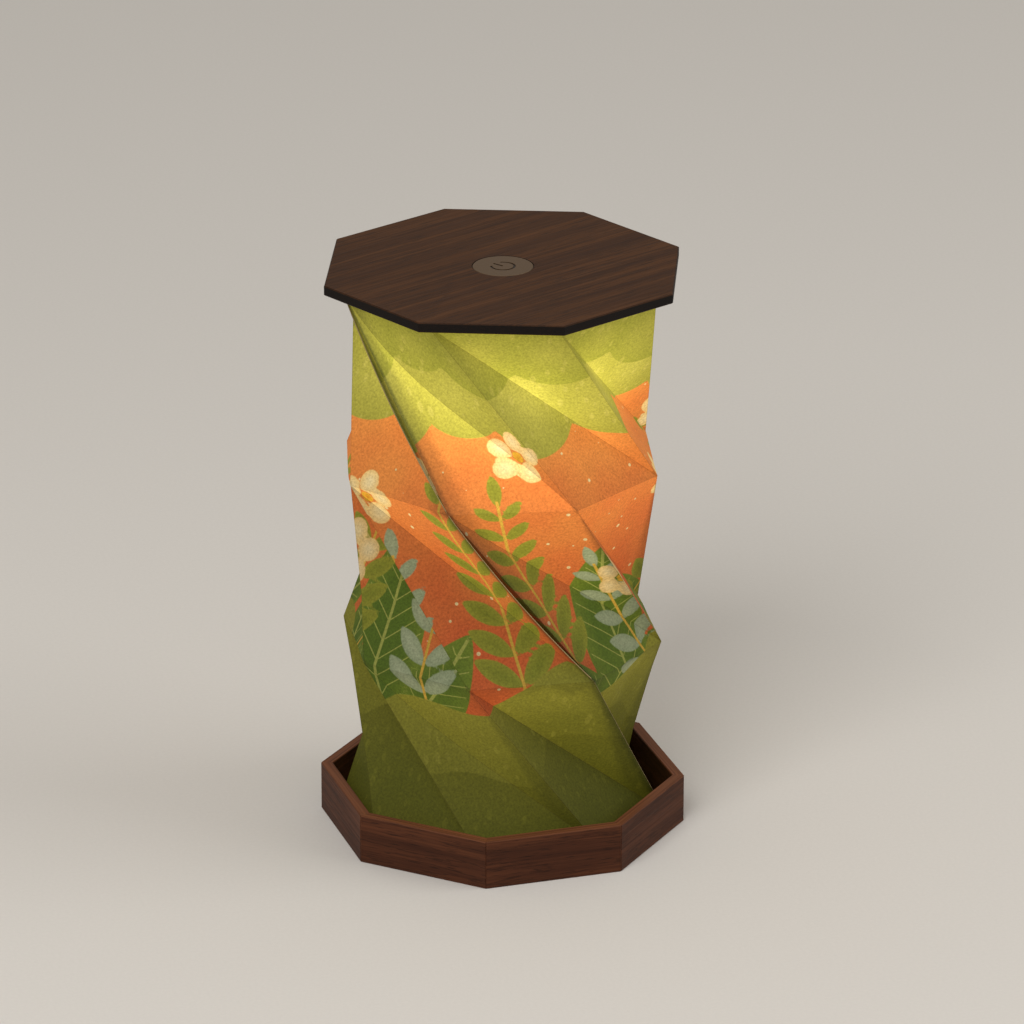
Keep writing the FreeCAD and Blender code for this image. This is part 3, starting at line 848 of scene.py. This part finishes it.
@dataclass(frozen=True)
class TwistFold:
    """The shade's folds in millimetres: rings of corners, with a ridge and a valley for each side."""

    radius: float = 65.19
    foot: float = LID_DROP["deforming_nodes"][0]["fixed_end_z_m"] / MM
    tiers: tuple[float, ...] = (76.6, 72.6, 76.0)
    # How far each tier turns, in degrees
    twists: tuple[float, ...] = (51.7, 50.6, 53.9)
    # How far each ring's middle is off the axis
    ring_shifts: Curve = ((0, 0), (0, 0), (-1.6, 0.5), (0, 0))
    sides: int = 8
    seam_side: int = 7
    # How much fainter each kind of fold's painted shade is, as a distance added to the distance from it
    ridge_fade: float = 0.12
    valley_fade: float = 0.16
    ring_fade: float = 0.24

    @property
    def edge(self) -> float:
        """Length of one side of a ring."""
        return 2 * self.radius * math.sin(math.pi / self.sides)

    @property
    def height(self) -> float:
        """Height of the folded sheet."""
        return sum(self.tiers)

    def ridge(self, tier: int) -> float:
        """Length of a tier's ridge."""
        turn = math.radians(self.twists[tier])
        return math.hypot(2 * self.radius * math.sin(turn / 2), self.tiers[tier])

    def lean(self, tier: int) -> float:
        """How far a ridge leans sideways on the flat sheet.

        Args:
            tier: The tier, from below.

        Returns:
            The lean, worked out from the lengths of a side, a ridge and a valley.
        """
        turn = math.radians(self.twists[tier] + 360 / self.sides)
        valley = math.hypot(2 * self.radius * math.sin(turn / 2), self.tiers[tier])
        return (self.edge ** 2 + self.ridge(tier) ** 2 - valley ** 2) / (2 * self.edge)

    def rise(self, tier: int) -> float:
        """Height of a tier on the flat sheet."""
        return math.sqrt(self.ridge(tier) ** 2 - self.lean(tier) ** 2)

    def corner(self, level: int, column: int) -> Vector:
        """A ring's corner in the frame.

        Args:
            level: The ring, from below.
            column: The corner, counted from the seam.

        Returns:
            Its place in metres.
        """
        angle = math.radians(360 / self.sides * (column + self.seam_side + 0.5) - sum(self.twists[:level]))
        x, y = self.ring_shifts[level]
        height = self.foot + sum(self.tiers[:level])
        return Vector((self.radius * math.cos(angle) + x, self.radius * math.sin(angle) + y, height)) * MM

    def flat_corner(self, level: int, column: int) -> Vector:
        """A ring's corner on the flat sheet.

        Args:
            level: The ring, from below.
            column: The corner, counted from the seam.

        Returns:
            Its place in millimetres.
        """
        across = self.edge * column + sum(self.lean(tier) for tier in range(level))
        return Vector((across, sum(self.rise(tier) for tier in range(level))))

    def corner_at(self, point: Vector) -> tuple[int, int]:
        """Finds the ring's corner at a point.

        Args:
            point: A point of the plain tube, in metres.

        Returns:
            The corner's level and column.
        """
        for level in range(len(self.tiers) + 1):
            for column in range(self.sides):
                if (point - self.corner(level, column)).length < SAME_CORNER:
                    return level, column
        raise ValueError(f"no ring corner at {point}")

    def places(self, flat: np.ndarray) -> FoldPlaces:
        """Finds where flat places lie among the folds.

        Args:
            flat: Flat places in millimetres.

        Returns:
            Their tiers, columns, shares and distances.
        """
        # Rounding, as a length in millimetres, and as a share of a column that still counts as the sheet
        hair, slack = 1e-6, 1e-4
        count = len(self.tiers)
        levels = np.array([self.flat_corner(level, 0).y for level in range(count + 1)])
        tier = np.clip(np.searchsorted(levels, flat[:, 1] - hair, side="right") - 1, 0, count - 1)
        rise, lean, ridge = (
            np.array([measure(number) for number in range(count)])[tier]
            for measure in (self.rise, self.lean, self.ridge)
        )
        start = np.array([self.flat_corner(level, 0).x for level in range(count)])[tier]
        up = np.clip((flat[:, 1] - levels[tier]) / rise, 0, 1)
        across = (flat[:, 0] - start - lean * up) / self.edge
        column = np.clip(np.floor(across + hair), -1, self.sides - 1).astype(int)
        share = across - column
        ridge_gap = self.edge * rise / ridge
        valley_gap = self.edge * rise / np.hypot(rise, lean - self.edge)
        creases = (
            np.minimum(share, 1 - share) * ridge_gap + self.ridge_fade,
            np.abs(share + up - 1) * valley_gap + self.valley_fade,
            np.minimum(up, 1 - up) * rise + self.ring_fade,
        )
        right, left = across * ridge_gap, (self.sides - across) * ridge_gap
        crease = np.min(creases, axis=0)
        return FoldPlaces(tier, column, share, up, crease, right, left, across < -slack)


@dataclass(frozen=True)
class LampGlow:
    """Light from the lamp under the lid that comes through the sheet, as shares of the brightest place."""

    height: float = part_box("lamp_housing")[0].z / MM
    radius: float = 14.0
    inner_radius: float = 6.3
    samples: int = 12
    # Rays end this far before the paper, so that it doesn't shade itself
    clearance: float = 2.5
    direct: float = 0.85
    wrap: float = 0.2
    full_percentile: float = 99.0
    # Light from all round the inside, by share of the shade's height
    around: Curve = ((0, 0.1), (0.3, 0.15), (0.65, 0.24), (1, 0.22))
    # What gets through at the seam, by distance from it: on the right, a painted shadow along the first
    # column beside the last column's lifted edge; on the left, less light through two layers of paper over
    # the tab
    seam_right: Curve = ((0, 0.1), (1, 0.14), (2.2, 0.5), (6, 0.62), (10.5, 1))
    seam_left: Curve = ((0, 0.15), (1.5, 0.4), (3, 0.8), (5.5, 0.86), (8, 1))
    tab_share: float = 0.05
    # Painted light and shade on single panels, by tier and column, that aren't folded quite true: shares
    # of the lamp's light beyond what the folded sheet gives
    panel_shares: tuple[tuple[int, int, Panel, float], ...] = (
        (2, 0, Panel.STANDING, 1.5),
        (2, 0, Panel.HANGING, 0.82),
        (2, 1, Panel.HANGING, 1.08),
        (0, 7, Panel.STANDING, 0.72),
        (0, 7, Panel.HANGING, 1.25),
    )

    def arriving(self, mesh: bpy.types.Mesh) -> np.ndarray:
        """Follows the lamp's light to the sheet, with the folds' own shadows.

        Args:
            mesh: The bowed sheet.

        Returns:
            One vector per point, towards the lamp and as long as the light there is strong.
        """
        points = [vertex.co.copy() for vertex in mesh.vertices]
        tree = BVHTree.FromPolygons(points, [tuple(face.vertices) for face in mesh.polygons])
        lamps = []
        for number in range(self.samples):
            angle = FULL_TURN * number / self.samples
            reach = self.inner_radius if number % 2 else self.radius
            lamps.append(Vector((reach * math.cos(angle), reach * math.sin(angle), self.height)) * MM)
        found = np.zeros((len(points), 3))
        for index, point in enumerate(points):
            total = Vector((0, 0, 0))
            for lamp in lamps:
                ray = point - lamp
                distance = ray.length
                ray.normalize()
                if tree.ray_cast(lamp, ray, distance - self.clearance * MM)[0] is None:
                    # The lamp shines down, so less goes to its sides
                    total -= ray * ((1 - ray.z) / 2 / distance ** 2)
            found[index] = total / len(lamps)
        return found

    def paper_share(self, fold: TwistFold, flat: np.ndarray, points: np.ndarray) -> np.ndarray:
        """What the seam and the odd panels let through: less through two layers of paper over the tab, a
        painted shadow beside the seam, and painted light and shade on single panels.

        Args:
            fold: The sheet's folds.
            flat: Each point's flat place, in millimetres.
            points: The point at each corner of each triangle.

        Returns:
            One share per corner.
        """
        spots = fold.places(flat)
        doubled_paper_and_seam_shadow = curve_at(spots.right, self.seam_right) * curve_at(spots.left, self.seam_left)
        seam = np.where(spots.on_tab, self.tab_share, doubled_paper_and_seam_shadow)
        middles = fold.places(flat[points].reshape(-1, 3, 2).mean(axis=1))
        panels = np.ones(len(middles.tier))
        for tier, column, panel, share in self.panel_shares:
            panels[middles.on_fold(tier, column) & (middles.standing == panel.value)] = share
        return seam[points] * np.repeat(panels, 3)

    def through(self, mesh: bpy.types.Mesh, fold: TwistFold, flat: np.ndarray) -> np.ndarray:
        """Works out the light that comes through the sheet.

        Args:
            mesh: The bowed sheet.
            fold: Its folds.
            flat: Each point's flat place, in millimetres.

        Returns:
            One share per corner of each triangle.
        """
        points = corner_points(mesh)
        light = self.arriving(mesh)[points]
        square = -np.sum(values_of(mesh.corner_normals, "vector", 3) * light, axis=1)
        direct = np.clip(square + self.wrap * np.linalg.norm(light, axis=1), 0, None)
        direct /= np.percentile(direct, self.full_percentile)
        height = values_of(mesh.vertices, "co", 3)[points, 2] / (fold.height * MM)
        arriving = direct * self.direct + curve_at(height, self.around)
        return arriving * self.paper_share(fold, flat, points)


@dataclass
class PaperShade:
    """The shade: one printed sheet, folded and closed by a seam along a ridge, in millimetres."""

    paper: PrintedPaper = PrintedPaper()
    # A blade's clean cut through the paper: a thin dull tan line, darker than the bare paper as painted
    # shade on the narrow edge
    raw_edge: FineFinish = FineFinish("guillotined_paper_edge", "#85714a", "#9a8558", 0.9, 0.5)
    design: MeadowPrint = MeadowPrint()
    fold: TwistFold = TwistFold()
    glow: LampGlow = LampGlow()
    thickness: float = 0.35
    tab_width: float = 9.0
    tab_gap: float = 1.2
    cuts: int = 39
    smooth_angle: float = 9.0
    # Room that the closed lamp leaves over the flattened paper
    slack: float = 0.4
    # Height and length of the panels' bows and ripples, which end this far before a fold
    bow_size: tuple[float, float] = (0.9, 26.0)
    ripple_size: tuple[float, float] = (0.3, 9.0)
    calm_width: float = 9.0
    # How far the seam's free edge lifts in each tier, how wide and how suddenly
    seam_lifts: tuple[float, ...] = (0.6, 2.2, 2.2)
    lift_width: float = 15.0
    lift_power: float = 0.8
    # Folds, by tier and column, that pop outwards, and how far
    pops: tuple[tuple[int, int, float], ...] = (
        (2, 0, 9.0), (0, 6, 5.0), (1, 0, 2.0), (2, 4, 3.0), (1, 3, 2.5), (0, 2, 2.0),
    )
    # Ridges, by tier and column, that are pressed inwards, and how far at each share of their height.
    # Less than zero is outwards
    presses: tuple[tuple[int, int, Curve], ...] = (
        (1, 6, ((0, 0), (0.3, 1.9), (0.8, 1.9), (1, 2.3))),
        (0, 5, ((0, 0), (0.3, 1.2), (0.8, 1.1), (1, 0.4))),
        (0, 1, ((0, 0), (0.3, 1.4), (0.8, 1.4), (1, 0.9))),
        (2, 3, ((0, -0.9), (1, -0.8))),
    )
    press_width: float = 32.0
    # The piece itself, once the tube is folded
    sheet: bpy.types.Object | None = field(default=None, init=False)

    @property
    def mesh(self) -> bpy.types.Mesh:
        """The sheet's mesh."""
        return self.sheet.data

    def select_edges(self, chosen: list[bool]) -> None:
        """Selects edges of the sheet and nothing else.

        Args:
            chosen: For each edge, whether it is selected.
        """
        with editing():
            bpy.ops.mesh.select_mode(type="EDGE")
            bpy.ops.mesh.select_all(action="DESELECT")
        for edge, choice in zip(self.mesh.edges, chosen):
            edge.select = choice

    def fold_tube(self) -> None:
        """Raises the rings, cuts them into one face per panel and opens the seam."""
        fold = self.fold
        about = {"orient_axis": "Z", "center_override": (0, 0, 0)}
        bpy.ops.object.select_all(action="DESELECT")
        bpy.ops.mesh.primitive_circle_add(
            vertices=fold.sides, radius=fold.radius * MM, location=(0, 0, fold.foot * MM)
        )
        self.sheet = bpy.context.object
        self.sheet.name = "folded_paper_shade"
        bpy.ops.object.transform_apply(location=True, rotation=True, scale=True)
        with editing():
            bpy.ops.mesh.select_all(action="SELECT")
            bpy.ops.transform.rotate(value=math.pi / fold.sides, **about)
            for tier, (height, twist) in enumerate(zip(fold.tiers, fold.twists)):
                below, above = (Vector((*fold.ring_shifts[level], 0)) * MM for level in (tier, tier + 1))
                up = Vector((0, 0, height)) * MM - below
                bpy.ops.mesh.extrude_edges_move(TRANSFORM_OT_translate={"value": up})
                bpy.ops.transform.rotate(value=math.radians(twist), **about)
                bpy.ops.transform.translate(value=above)
            bpy.ops.mesh.select_all(action="SELECT")
            bpy.ops.mesh.quads_convert_to_tris(quad_method="FIXED_ALTERNATE")
        columns = [fold.corner_at(vertex.co)[1] for vertex in self.mesh.vertices]
        self.select_edges([all(columns[end] == 0 for end in edge.vertices) for edge in self.mesh.edges])
        with editing():
            bpy.ops.mesh.edge_split(type="EDGE")

    def lay_flat(self) -> None:
        """Gives the sheet a map of its flat shape, in metres."""
        mesh, fold = self.mesh, self.fold
        while mesh.uv_layers:
            mesh.uv_layers.remove(mesh.uv_layers[0])
        layer = mesh.uv_layers.new(name="flat")
        for face in mesh.polygons:
            corners = [fold.corner_at(mesh.vertices[index].co) for index in face.vertices]
            columns = [column for _, column in corners]
            at_end = max(columns) == fold.sides - 1 and min(columns) == 0
            for loop, (level, column) in zip(face.loop_indices, corners):
                shown = fold.sides if at_end and column == 0 else column
                layer.data[loop].uv = fold.flat_corner(level, shown) * MM

    def add_tab(self) -> None:
        """Draws the seam's glue tab out of the first column's free edges, under the last column."""
        mesh, fold = self.mesh, self.fold
        layer = mesh.uv_layers["flat"]
        starts = {}
        for face in mesh.polygons:
            for loop, index in zip(face.loop_indices, face.vertices):
                level, column = fold.corner_at(mesh.vertices[index].co)
                first = fold.flat_corner(level, 0) * MM
                if column == 0 and (layer.data[loop].uv - first).length < SAME_CORNER:
                    starts[level] = index
        for tier in range(len(fold.tiers)):
            ends = {starts[tier], starts[tier + 1]}
            self.select_edges([set(edge.vertices) == ends for edge in mesh.edges])
            self.draw_tab(tier)
            self.lay_tab_flat(tier, ends)

    def draw_tab(self, tier: int) -> None:
        """Draws one tier's tab out of the selected edge, behind the last column, with trimmed ends.

        Args:
            tier: The tier, from below.
        """
        low, high = self.fold.corner(tier, 0), self.fold.corner(tier + 1, 0)
        ridge = (high - low).normalized()
        beside = self.fold.corner(tier + 1, -1) - high
        beside -= ridge * beside.dot(ridge)
        outward = ridge.cross(beside).normalized()
        if outward.dot(Vector((low.x, low.y, 0))) < 0:
            outward = -outward
        slide = beside.normalized() * self.tab_width * MM - outward * self.tab_gap * MM
        trim = 1 - 2 * self.tab_width / self.fold.ridge(tier)
        with editing():
            bpy.ops.mesh.extrude_edges_move(TRANSFORM_OT_translate={"value": slide})
            bpy.ops.transform.resize(value=(trim, trim, trim), center_override=(low + high) / 2 + slide)

    def lay_tab_flat(self, tier: int, ends: set[int]) -> None:
        """Maps one tier's tab beside the sheet's first column.

        Args:
            tier: The tier, from below.
            ends: The points of the edge that the tab was drawn out of.
        """
        mesh, fold = self.mesh, self.fold
        layer = mesh.uv_layers["flat"]
        foot = fold.corner(tier, 0)
        span = fold.corner(tier + 1, 0) - foot
        low, high = fold.flat_corner(tier, 0), fold.flat_corner(tier + 1, 0)
        quads = (face for face in mesh.polygons if len(face.vertices) == 4)
        tab = next(face for face in quads if ends <= set(face.vertices))
        for loop, index in zip(tab.loop_indices, tab.vertices):
            share = (mesh.vertices[index].co - foot).dot(span) / span.length_squared
            out = 0 if index in ends else self.tab_width
            layer.data[loop].uv = (low.lerp(high, share) - Vector((out, 0))) * MM

    def divide(self) -> None:
        """Divides every panel evenly, so that it can bow and carry the print."""
        with editing():
            bpy.ops.mesh.select_all(action="SELECT")
            bpy.ops.mesh.quads_convert_to_tris(quad_method="BEAUTY")
            bpy.ops.mesh.subdivide(number_cuts=self.cuts, smoothness=0)

    def flat_places(self) -> np.ndarray:
        """Reads each point's flat place.

        Returns:
            Places in millimetres.
        """
        flat = np.zeros((len(self.mesh.vertices), 2))
        flat[corner_points(self.mesh)] = values_of(self.mesh.uv_layers["flat"].uv, "vector", 2) / MM
        return flat

    def fold_shifts(self, points: np.ndarray, places: FoldPlaces) -> np.ndarray:
        """Works out how far each point goes outwards with the folds that popped and the ridges pressed in.

        Args:
            points: Points of the plain tube, in metres.
            places: Where they lie among the folds.

        Returns:
            Distances in millimetres.
        """
        upper = np.where(places.standing, places.up, 1 - places.share)
        lower = np.where(places.standing, places.share, 1 - places.up)
        shift = np.zeros(len(points))
        for tier, column, height in self.pops:
            chosen = places.on_fold(tier, column) & ~places.on_tab
            shift += np.where(chosen, 4 * upper * lower * height, 0)
        for tier, column, depths in self.presses:
            low, high = (np.array(self.fold.corner(level, column)) for level in (tier, tier + 1))
            span = high - low
            share = np.clip((points - low) @ span / (span @ span), 0, 1)
            gap = np.linalg.norm(points - low - np.outer(share, span), axis=1) / MM
            shift -= curve_at(share, depths) * np.clip(1 - gap / self.press_width, 0, 1)
        return shift

    def bow(self) -> None:
        """Bows the panels, shifts some folds and lifts the seam's free edge, as folding by hand does."""
        vertices = self.mesh.vertices
        places = self.fold.places(self.flat_places())
        normals = values_of(vertices, "normal", 3).astype(float)
        points = values_of(vertices, "co", 3).astype(float)
        outward = points * (1, 1, 0)
        outward /= np.linalg.norm(outward, axis=1)[:, None]
        waves = sum(
            height * np.array([noise.noise(Vector(point) / (length * MM)) for point in points])
            for height, length in (self.bow_size, self.ripple_size)
        )
        bend = np.clip(places.crease / self.calm_width, 0, 1) * waves
        free = np.clip(1 - places.left / self.lift_width, 0, 1) ** 2
        arch = np.sin(np.pi * np.clip(places.up, 0, 1)) ** self.lift_power
        lift = np.array(self.seam_lifts)[places.tier] * free * arch
        raised = np.where(places.on_tab, 0, bend + lift)
        shifted = self.fold_shifts(points, places)
        moved = points + outward * (shifted[:, None] * MM) + normals * (raised[:, None] * MM)
        vertices.foreach_set("co", moved.astype(np.float32).ravel())
        self.mesh.update()

    def record_maps(self) -> None:
        """Stores the print, the folds and the lamp's light on the sheet."""
        flat = self.flat_places()
        traces = {Trace.CREASE: self.fold.places(flat).crease, Trace.HEIGHT: flat[:, 1]}
        maps = [(item, "POINT", values) for item, values in {**self.design.draw(flat), **traces}.items()]
        maps.append((Trace.GLOW, "CORNER", self.glow.through(self.mesh, self.fold, flat)))
        for item, domain, values in maps:
            layer = self.mesh.attributes.new(item.value, "FLOAT", domain)
            layer.data.foreach_set("value", values.astype(np.float32))

    def thicken(self) -> None:
        """Gives the sheet its finishes and its thickness."""
        for finish in (self.paper, self.raw_edge):
            self.mesh.materials.append(finish.build())
        wall = self.sheet.modifiers.new("paper", "SOLIDIFY")
        wall.thickness = self.thickness * MM
        wall.offset = -1
        wall.use_rim = True
        wall.material_offset_rim = 1
        bpy.ops.object.modifier_apply(modifier=wall.name)

    def declare_cut(self) -> None:
        """Works out the height, lean and tab area of the sheet as it was cut before it was folded, and
        keeps none of them.
        """
        fold = self.fold
        tiers = range(len(fold.tiers))
        height = sum(fold.rise(tier) for tier in tiers)
        lean = abs(sum(fold.lean(tier) for tier in tiers))
        tabs = sum(self.tab_width * (fold.ridge(tier) - self.tab_width) for tier in tiers)

    def build(self) -> None:
        """Makes the shade and puts it in the place of its plain solid."""
        self.fold_tube()
        self.lay_flat()
        self.add_tab()
        self.divide()
        self.bow()
        bpy.ops.object.shade_smooth_by_angle(angle=math.radians(self.smooth_angle))
        self.record_maps()
        self.thicken()
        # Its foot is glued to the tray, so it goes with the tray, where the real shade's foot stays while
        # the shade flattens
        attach(self.sheet, "tray")
        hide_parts("paper_shade")
        self.declare_cut()
        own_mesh(self.sheet)
        LOG.info("built %s with %d faces", self.sheet.name, len(self.mesh.polygons))


@dataclass
class Lid:
    """The lid: a veneered board with a touch disc. Sizes in millimetres."""

    grain_angle: float = 23.8
    grain_shift: float = 0.31
    top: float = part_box("touch_disc")[1].z / MM
    engraving: float = 0.25

    def dress(self) -> None:
        """Gives the lid's nodes their finishes."""
        # Sliced veneer under thin oil: fine straight grain, little sheen, and edges that a laser charred
        veneer = Walnut(
            "oiled_walnut_veneer", "#331b09", "#553213", "#190d05", self.grain_angle, self.grain_shift,
            cut_edge="#0b0604",
        )
        dress("lid_panel", veneer.build())
        # Bead blasting leaves a satin taupe without a mirror image, and the engraved lines stay dark.
        # The grit is drawn 0.5 mm coarse so that it shows
        plate = EngravedPlate(
            "blasted_anodised_aluminium", "#59432b", "#654e34", 0.51, 0.5, metallic=0.5, relief_mm=0.03,
            gloss_spread=0.09, mottle_range=(0, 1), detail=2.0, bump=0.2,
            engraving="#281b10", top=self.top, depth=self.engraving,
        )
        dress("touch_disc", plate.build())


@dataclass
class Tray:
    """The tray: mitred rails round a floor."""

    sides: int = 8
    # Each rail is cut from another place of the wood, so many metres along
    rail_shift: tuple[float, float] = (0.05, 0.17)
    band_mm: tuple[float, float] = (90.0, 5.0)
    floor_grain: float = 20.0
    floor_shift: float = 0.63

    def dress(self) -> None:
        """Gives the tray's nodes their finishes, each rail with its grain along its own length."""
        first, step = self.rail_shift
        for number in range(self.sides):
            # Planed solid walnut under oil: redder than the veneer, with broad bands; its top faces are
            # painted paler, painted light from the glowing shade beside them
            rail = Walnut(
                f"oiled_walnut_rail_{number + 1}", "#361b0f", "#5a321d", "#1a0c06",
                360 / self.sides * number + 90, step * number + first, top="#76462a", band_mm=self.band_mm,
            )
            dress(f"tray_rail_{number + 1}", rail.build())
        # A thin oiled board: even mid brown, seen only past the paper's foot
        floor = Walnut(
            "oiled_walnut_floor", "#3a2216", "#553421", "#1d0f08", self.floor_grain, self.floor_shift
        )
        dress("tray_floor", floor.build())


@dataclass
class LampUnit:
    """The lamp under the lid, the paper's glue flaps and all that the housing holds."""

    finishes: dict[str, FineFinish] = field(
        default_factory=lambda: {
            # Bare cream paper: dull, with fibres that show as a faint cloud
            "lower_glue_flaps": FineFinish("uncoated_paper_lower", "#d9cdb0", "#e6dcc4", 0.85, 1.2),
            "upper_glue_flaps": FineFinish("uncoated_paper_upper", "#d9cdb0", "#e6dcc4", 0.85, 1.2),
            # Carbon-filled foam: near black, dull, with open cells
            "touch_pad": FineFinish("cut_conductive_foam", "#1d1d1e", "#2b2b2c", 0.9, 0.6, relief_mm=0.15),
            # A spark-eroded mould: warm white with a fine soft sheen
            "lamp_housing": FineFinish("moulded_abs", "#dcd9d0", "#e4e1d9", 0.5, 0.8),
            # Bright zinc: cool grey metal with a slight bloom
            "housing_screws": FineFinish(
                "zinc_plated_steel", "#9a9a98", "#b4b3ae", 0.35, 0.5, metallic=1.0
            ),
            # Milky plastic lit from behind: even warm light without a hot spot
            "diffuser": FineFinish(
                "moulded_opal_polycarbonate", "#f0e2c4", "#ffe0a8", 0.45, 2.0, light=2.0
            ),
            # A plain mould: clean white, half matt
            "spacer_ring": FineFinish("moulded_white_abs", "#e2e0da", "#eceae5", 0.5, 0.8),
            # Lacquer laid through a screen: opaque white, half gloss
            "lamp_board": FineFinish("screened_white_solder_mask", "#dedcd6", "#ebe9e4", 0.4, 1.5),
            # Phosphor in clear resin: yolk yellow, glossy, the brightest thing in the lamp
            "lamp_chips": FineFinish("cast_phosphor_resin", "#f2d36b", "#ffdf9a", 0.35, 0.4, light=4.0),
            # Foil pressed round the cell: pale grey metal with shallow dents
            "battery_cell": FineFinish(
                "pressed_aluminium_foil", "#b9bbbd", "#cfd1d2", 0.4, 3.0, metallic=1.0
            ),
            # Smooth plating: bright yellow metal
            "link_pins": FineFinish("plated_brass", "#c6a45a", "#d6b873", 0.3, 0.3, metallic=1.0),
            # Lacquer laid through a screen: deep green, half gloss
            "control_board": FineFinish("screened_green_solder_mask", "#1c4f2d", "#23603a", 0.35, 1.5),
            # Filled epoxy: charcoal, matt from the mould
            "board_components": FineFinish("moulded_epoxy", "#1a1a1b", "#262627", 0.55, 0.4),
            # A drawn shell under nickel: warm grey metal, nearly bright
            "charging_socket": FineFinish(
                "drawn_nickel_plated_steel", "#a6a6a4", "#bcbcba", 0.3, 0.4, metallic=1.0
            ),
        }
    )

    def dress(self) -> None:
        """Gives each node its finish."""
        for node, finish in self.finishes.items():
            dress(node, finish.build())


class SoftLamp(NamedTuple):
    """A square studio lamp: its place and width in metres, and its power in watts."""

    name: str
    place: tuple[float, float, float]
    power: float
    width: float


@dataclass
class Studio:
    """A pale floor, soft light and the camera."""

    # The camera, in millimetres and degrees
    target: tuple[float, float, float] = (3.545, -1.124, 130.3)
    azimuth: float = -17.59
    elevation: float = 21.365
    roll: float = 0.107
    distance: float = 2735.6
    lens: float = 243.54
    sensor: float = 36.0
    # The room, in metres
    floor_size: float = 12.0
    floor_drop: float = 2e-5
    lamps: tuple[SoftLamp, ...] = (
        SoftLamp("key", (-1.3, -1.5, 1.9), 40, 1.4),
        SoftLamp("fill", (1.8, -0.9, 1.4), 17, 1.6),
    )
    lamp_aim: tuple[float, float, float] = (0, 0, 0.12)
    room_colour: str = "#e9e6e1"
    room_strength: float = 0.56

    def build(self) -> None:
        """Sets the stage."""
        self.lay_floor()
        self.light()
        self.set_camera()
        bpy.context.scene.view_settings.view_transform = "Standard"

    def lay_floor(self) -> None:
        """Lays the pale floor."""
        bpy.ops.object.select_all(action="DESELECT")
        bpy.ops.mesh.primitive_plane_add(size=self.floor_size, location=(0, 0, -self.floor_drop))
        floor = bpy.context.object
        floor.name = "studio_floor"
        # Uncoated backdrop paper: even warm grey with no shine
        paper = FineFinish("matt_studio_paper", "#d2cdc6", "#d5d0c9", 0.9, 1.5, relief_mm=0.004)
        floor.data.materials.append(paper.build())

    def light(self) -> None:
        """Hangs one broad lamp on each side and fills the room evenly."""
        world = bpy.data.worlds.new("studio")
        world.use_nodes = True
        room = world.node_tree.nodes["Background"].inputs
        room["Color"].default_value = hex_colour(self.room_colour)
        room["Strength"].default_value = self.room_strength
        bpy.context.scene.world = world
        for soft in self.lamps:
            bpy.ops.object.light_add(type="AREA", location=soft.place)
            lamp = bpy.context.object
            lamp.name = f"studio_{soft.name}"
            lamp.data.energy = soft.power
            lamp.data.size = soft.width
            aim = Vector(self.lamp_aim) - Vector(soft.place)
            lamp.rotation_euler = aim.to_track_quat("-Z", "Y").to_euler()

    def set_camera(self) -> None:
        """Places the camera at the viewing angle."""
        side, height = math.radians(self.azimuth), math.radians(self.elevation)
        level = math.cos(height)
        back = Vector((math.sin(side) * level, -math.cos(side) * level, math.sin(height)))
        camera = bpy.data.objects.new("camera", bpy.data.cameras.new("camera"))
        bpy.context.scene.collection.objects.link(camera)
        camera.data.lens = self.lens
        camera.data.sensor_width = self.sensor
        look = (-back).to_track_quat("-Z", "Y").to_matrix().to_4x4()
        tilt = Matrix.Rotation(math.radians(self.roll), 4, "Z")
        place = Matrix.Translation((Vector(self.target) + back * self.distance) * MM)
        camera.matrix_world = place @ look @ tilt
        bpy.context.scene.camera = camera


def main() -> None:
    """Builds the lamp's looks in order."""
    logging.basicConfig(level=logging.INFO, format="%(name)s: %(message)s")
    Studio().build()
    PaperShade().build()
    Lid().dress()
    Tray().dress()
    LampUnit().dress()


if __name__ == "__main__":
    main()
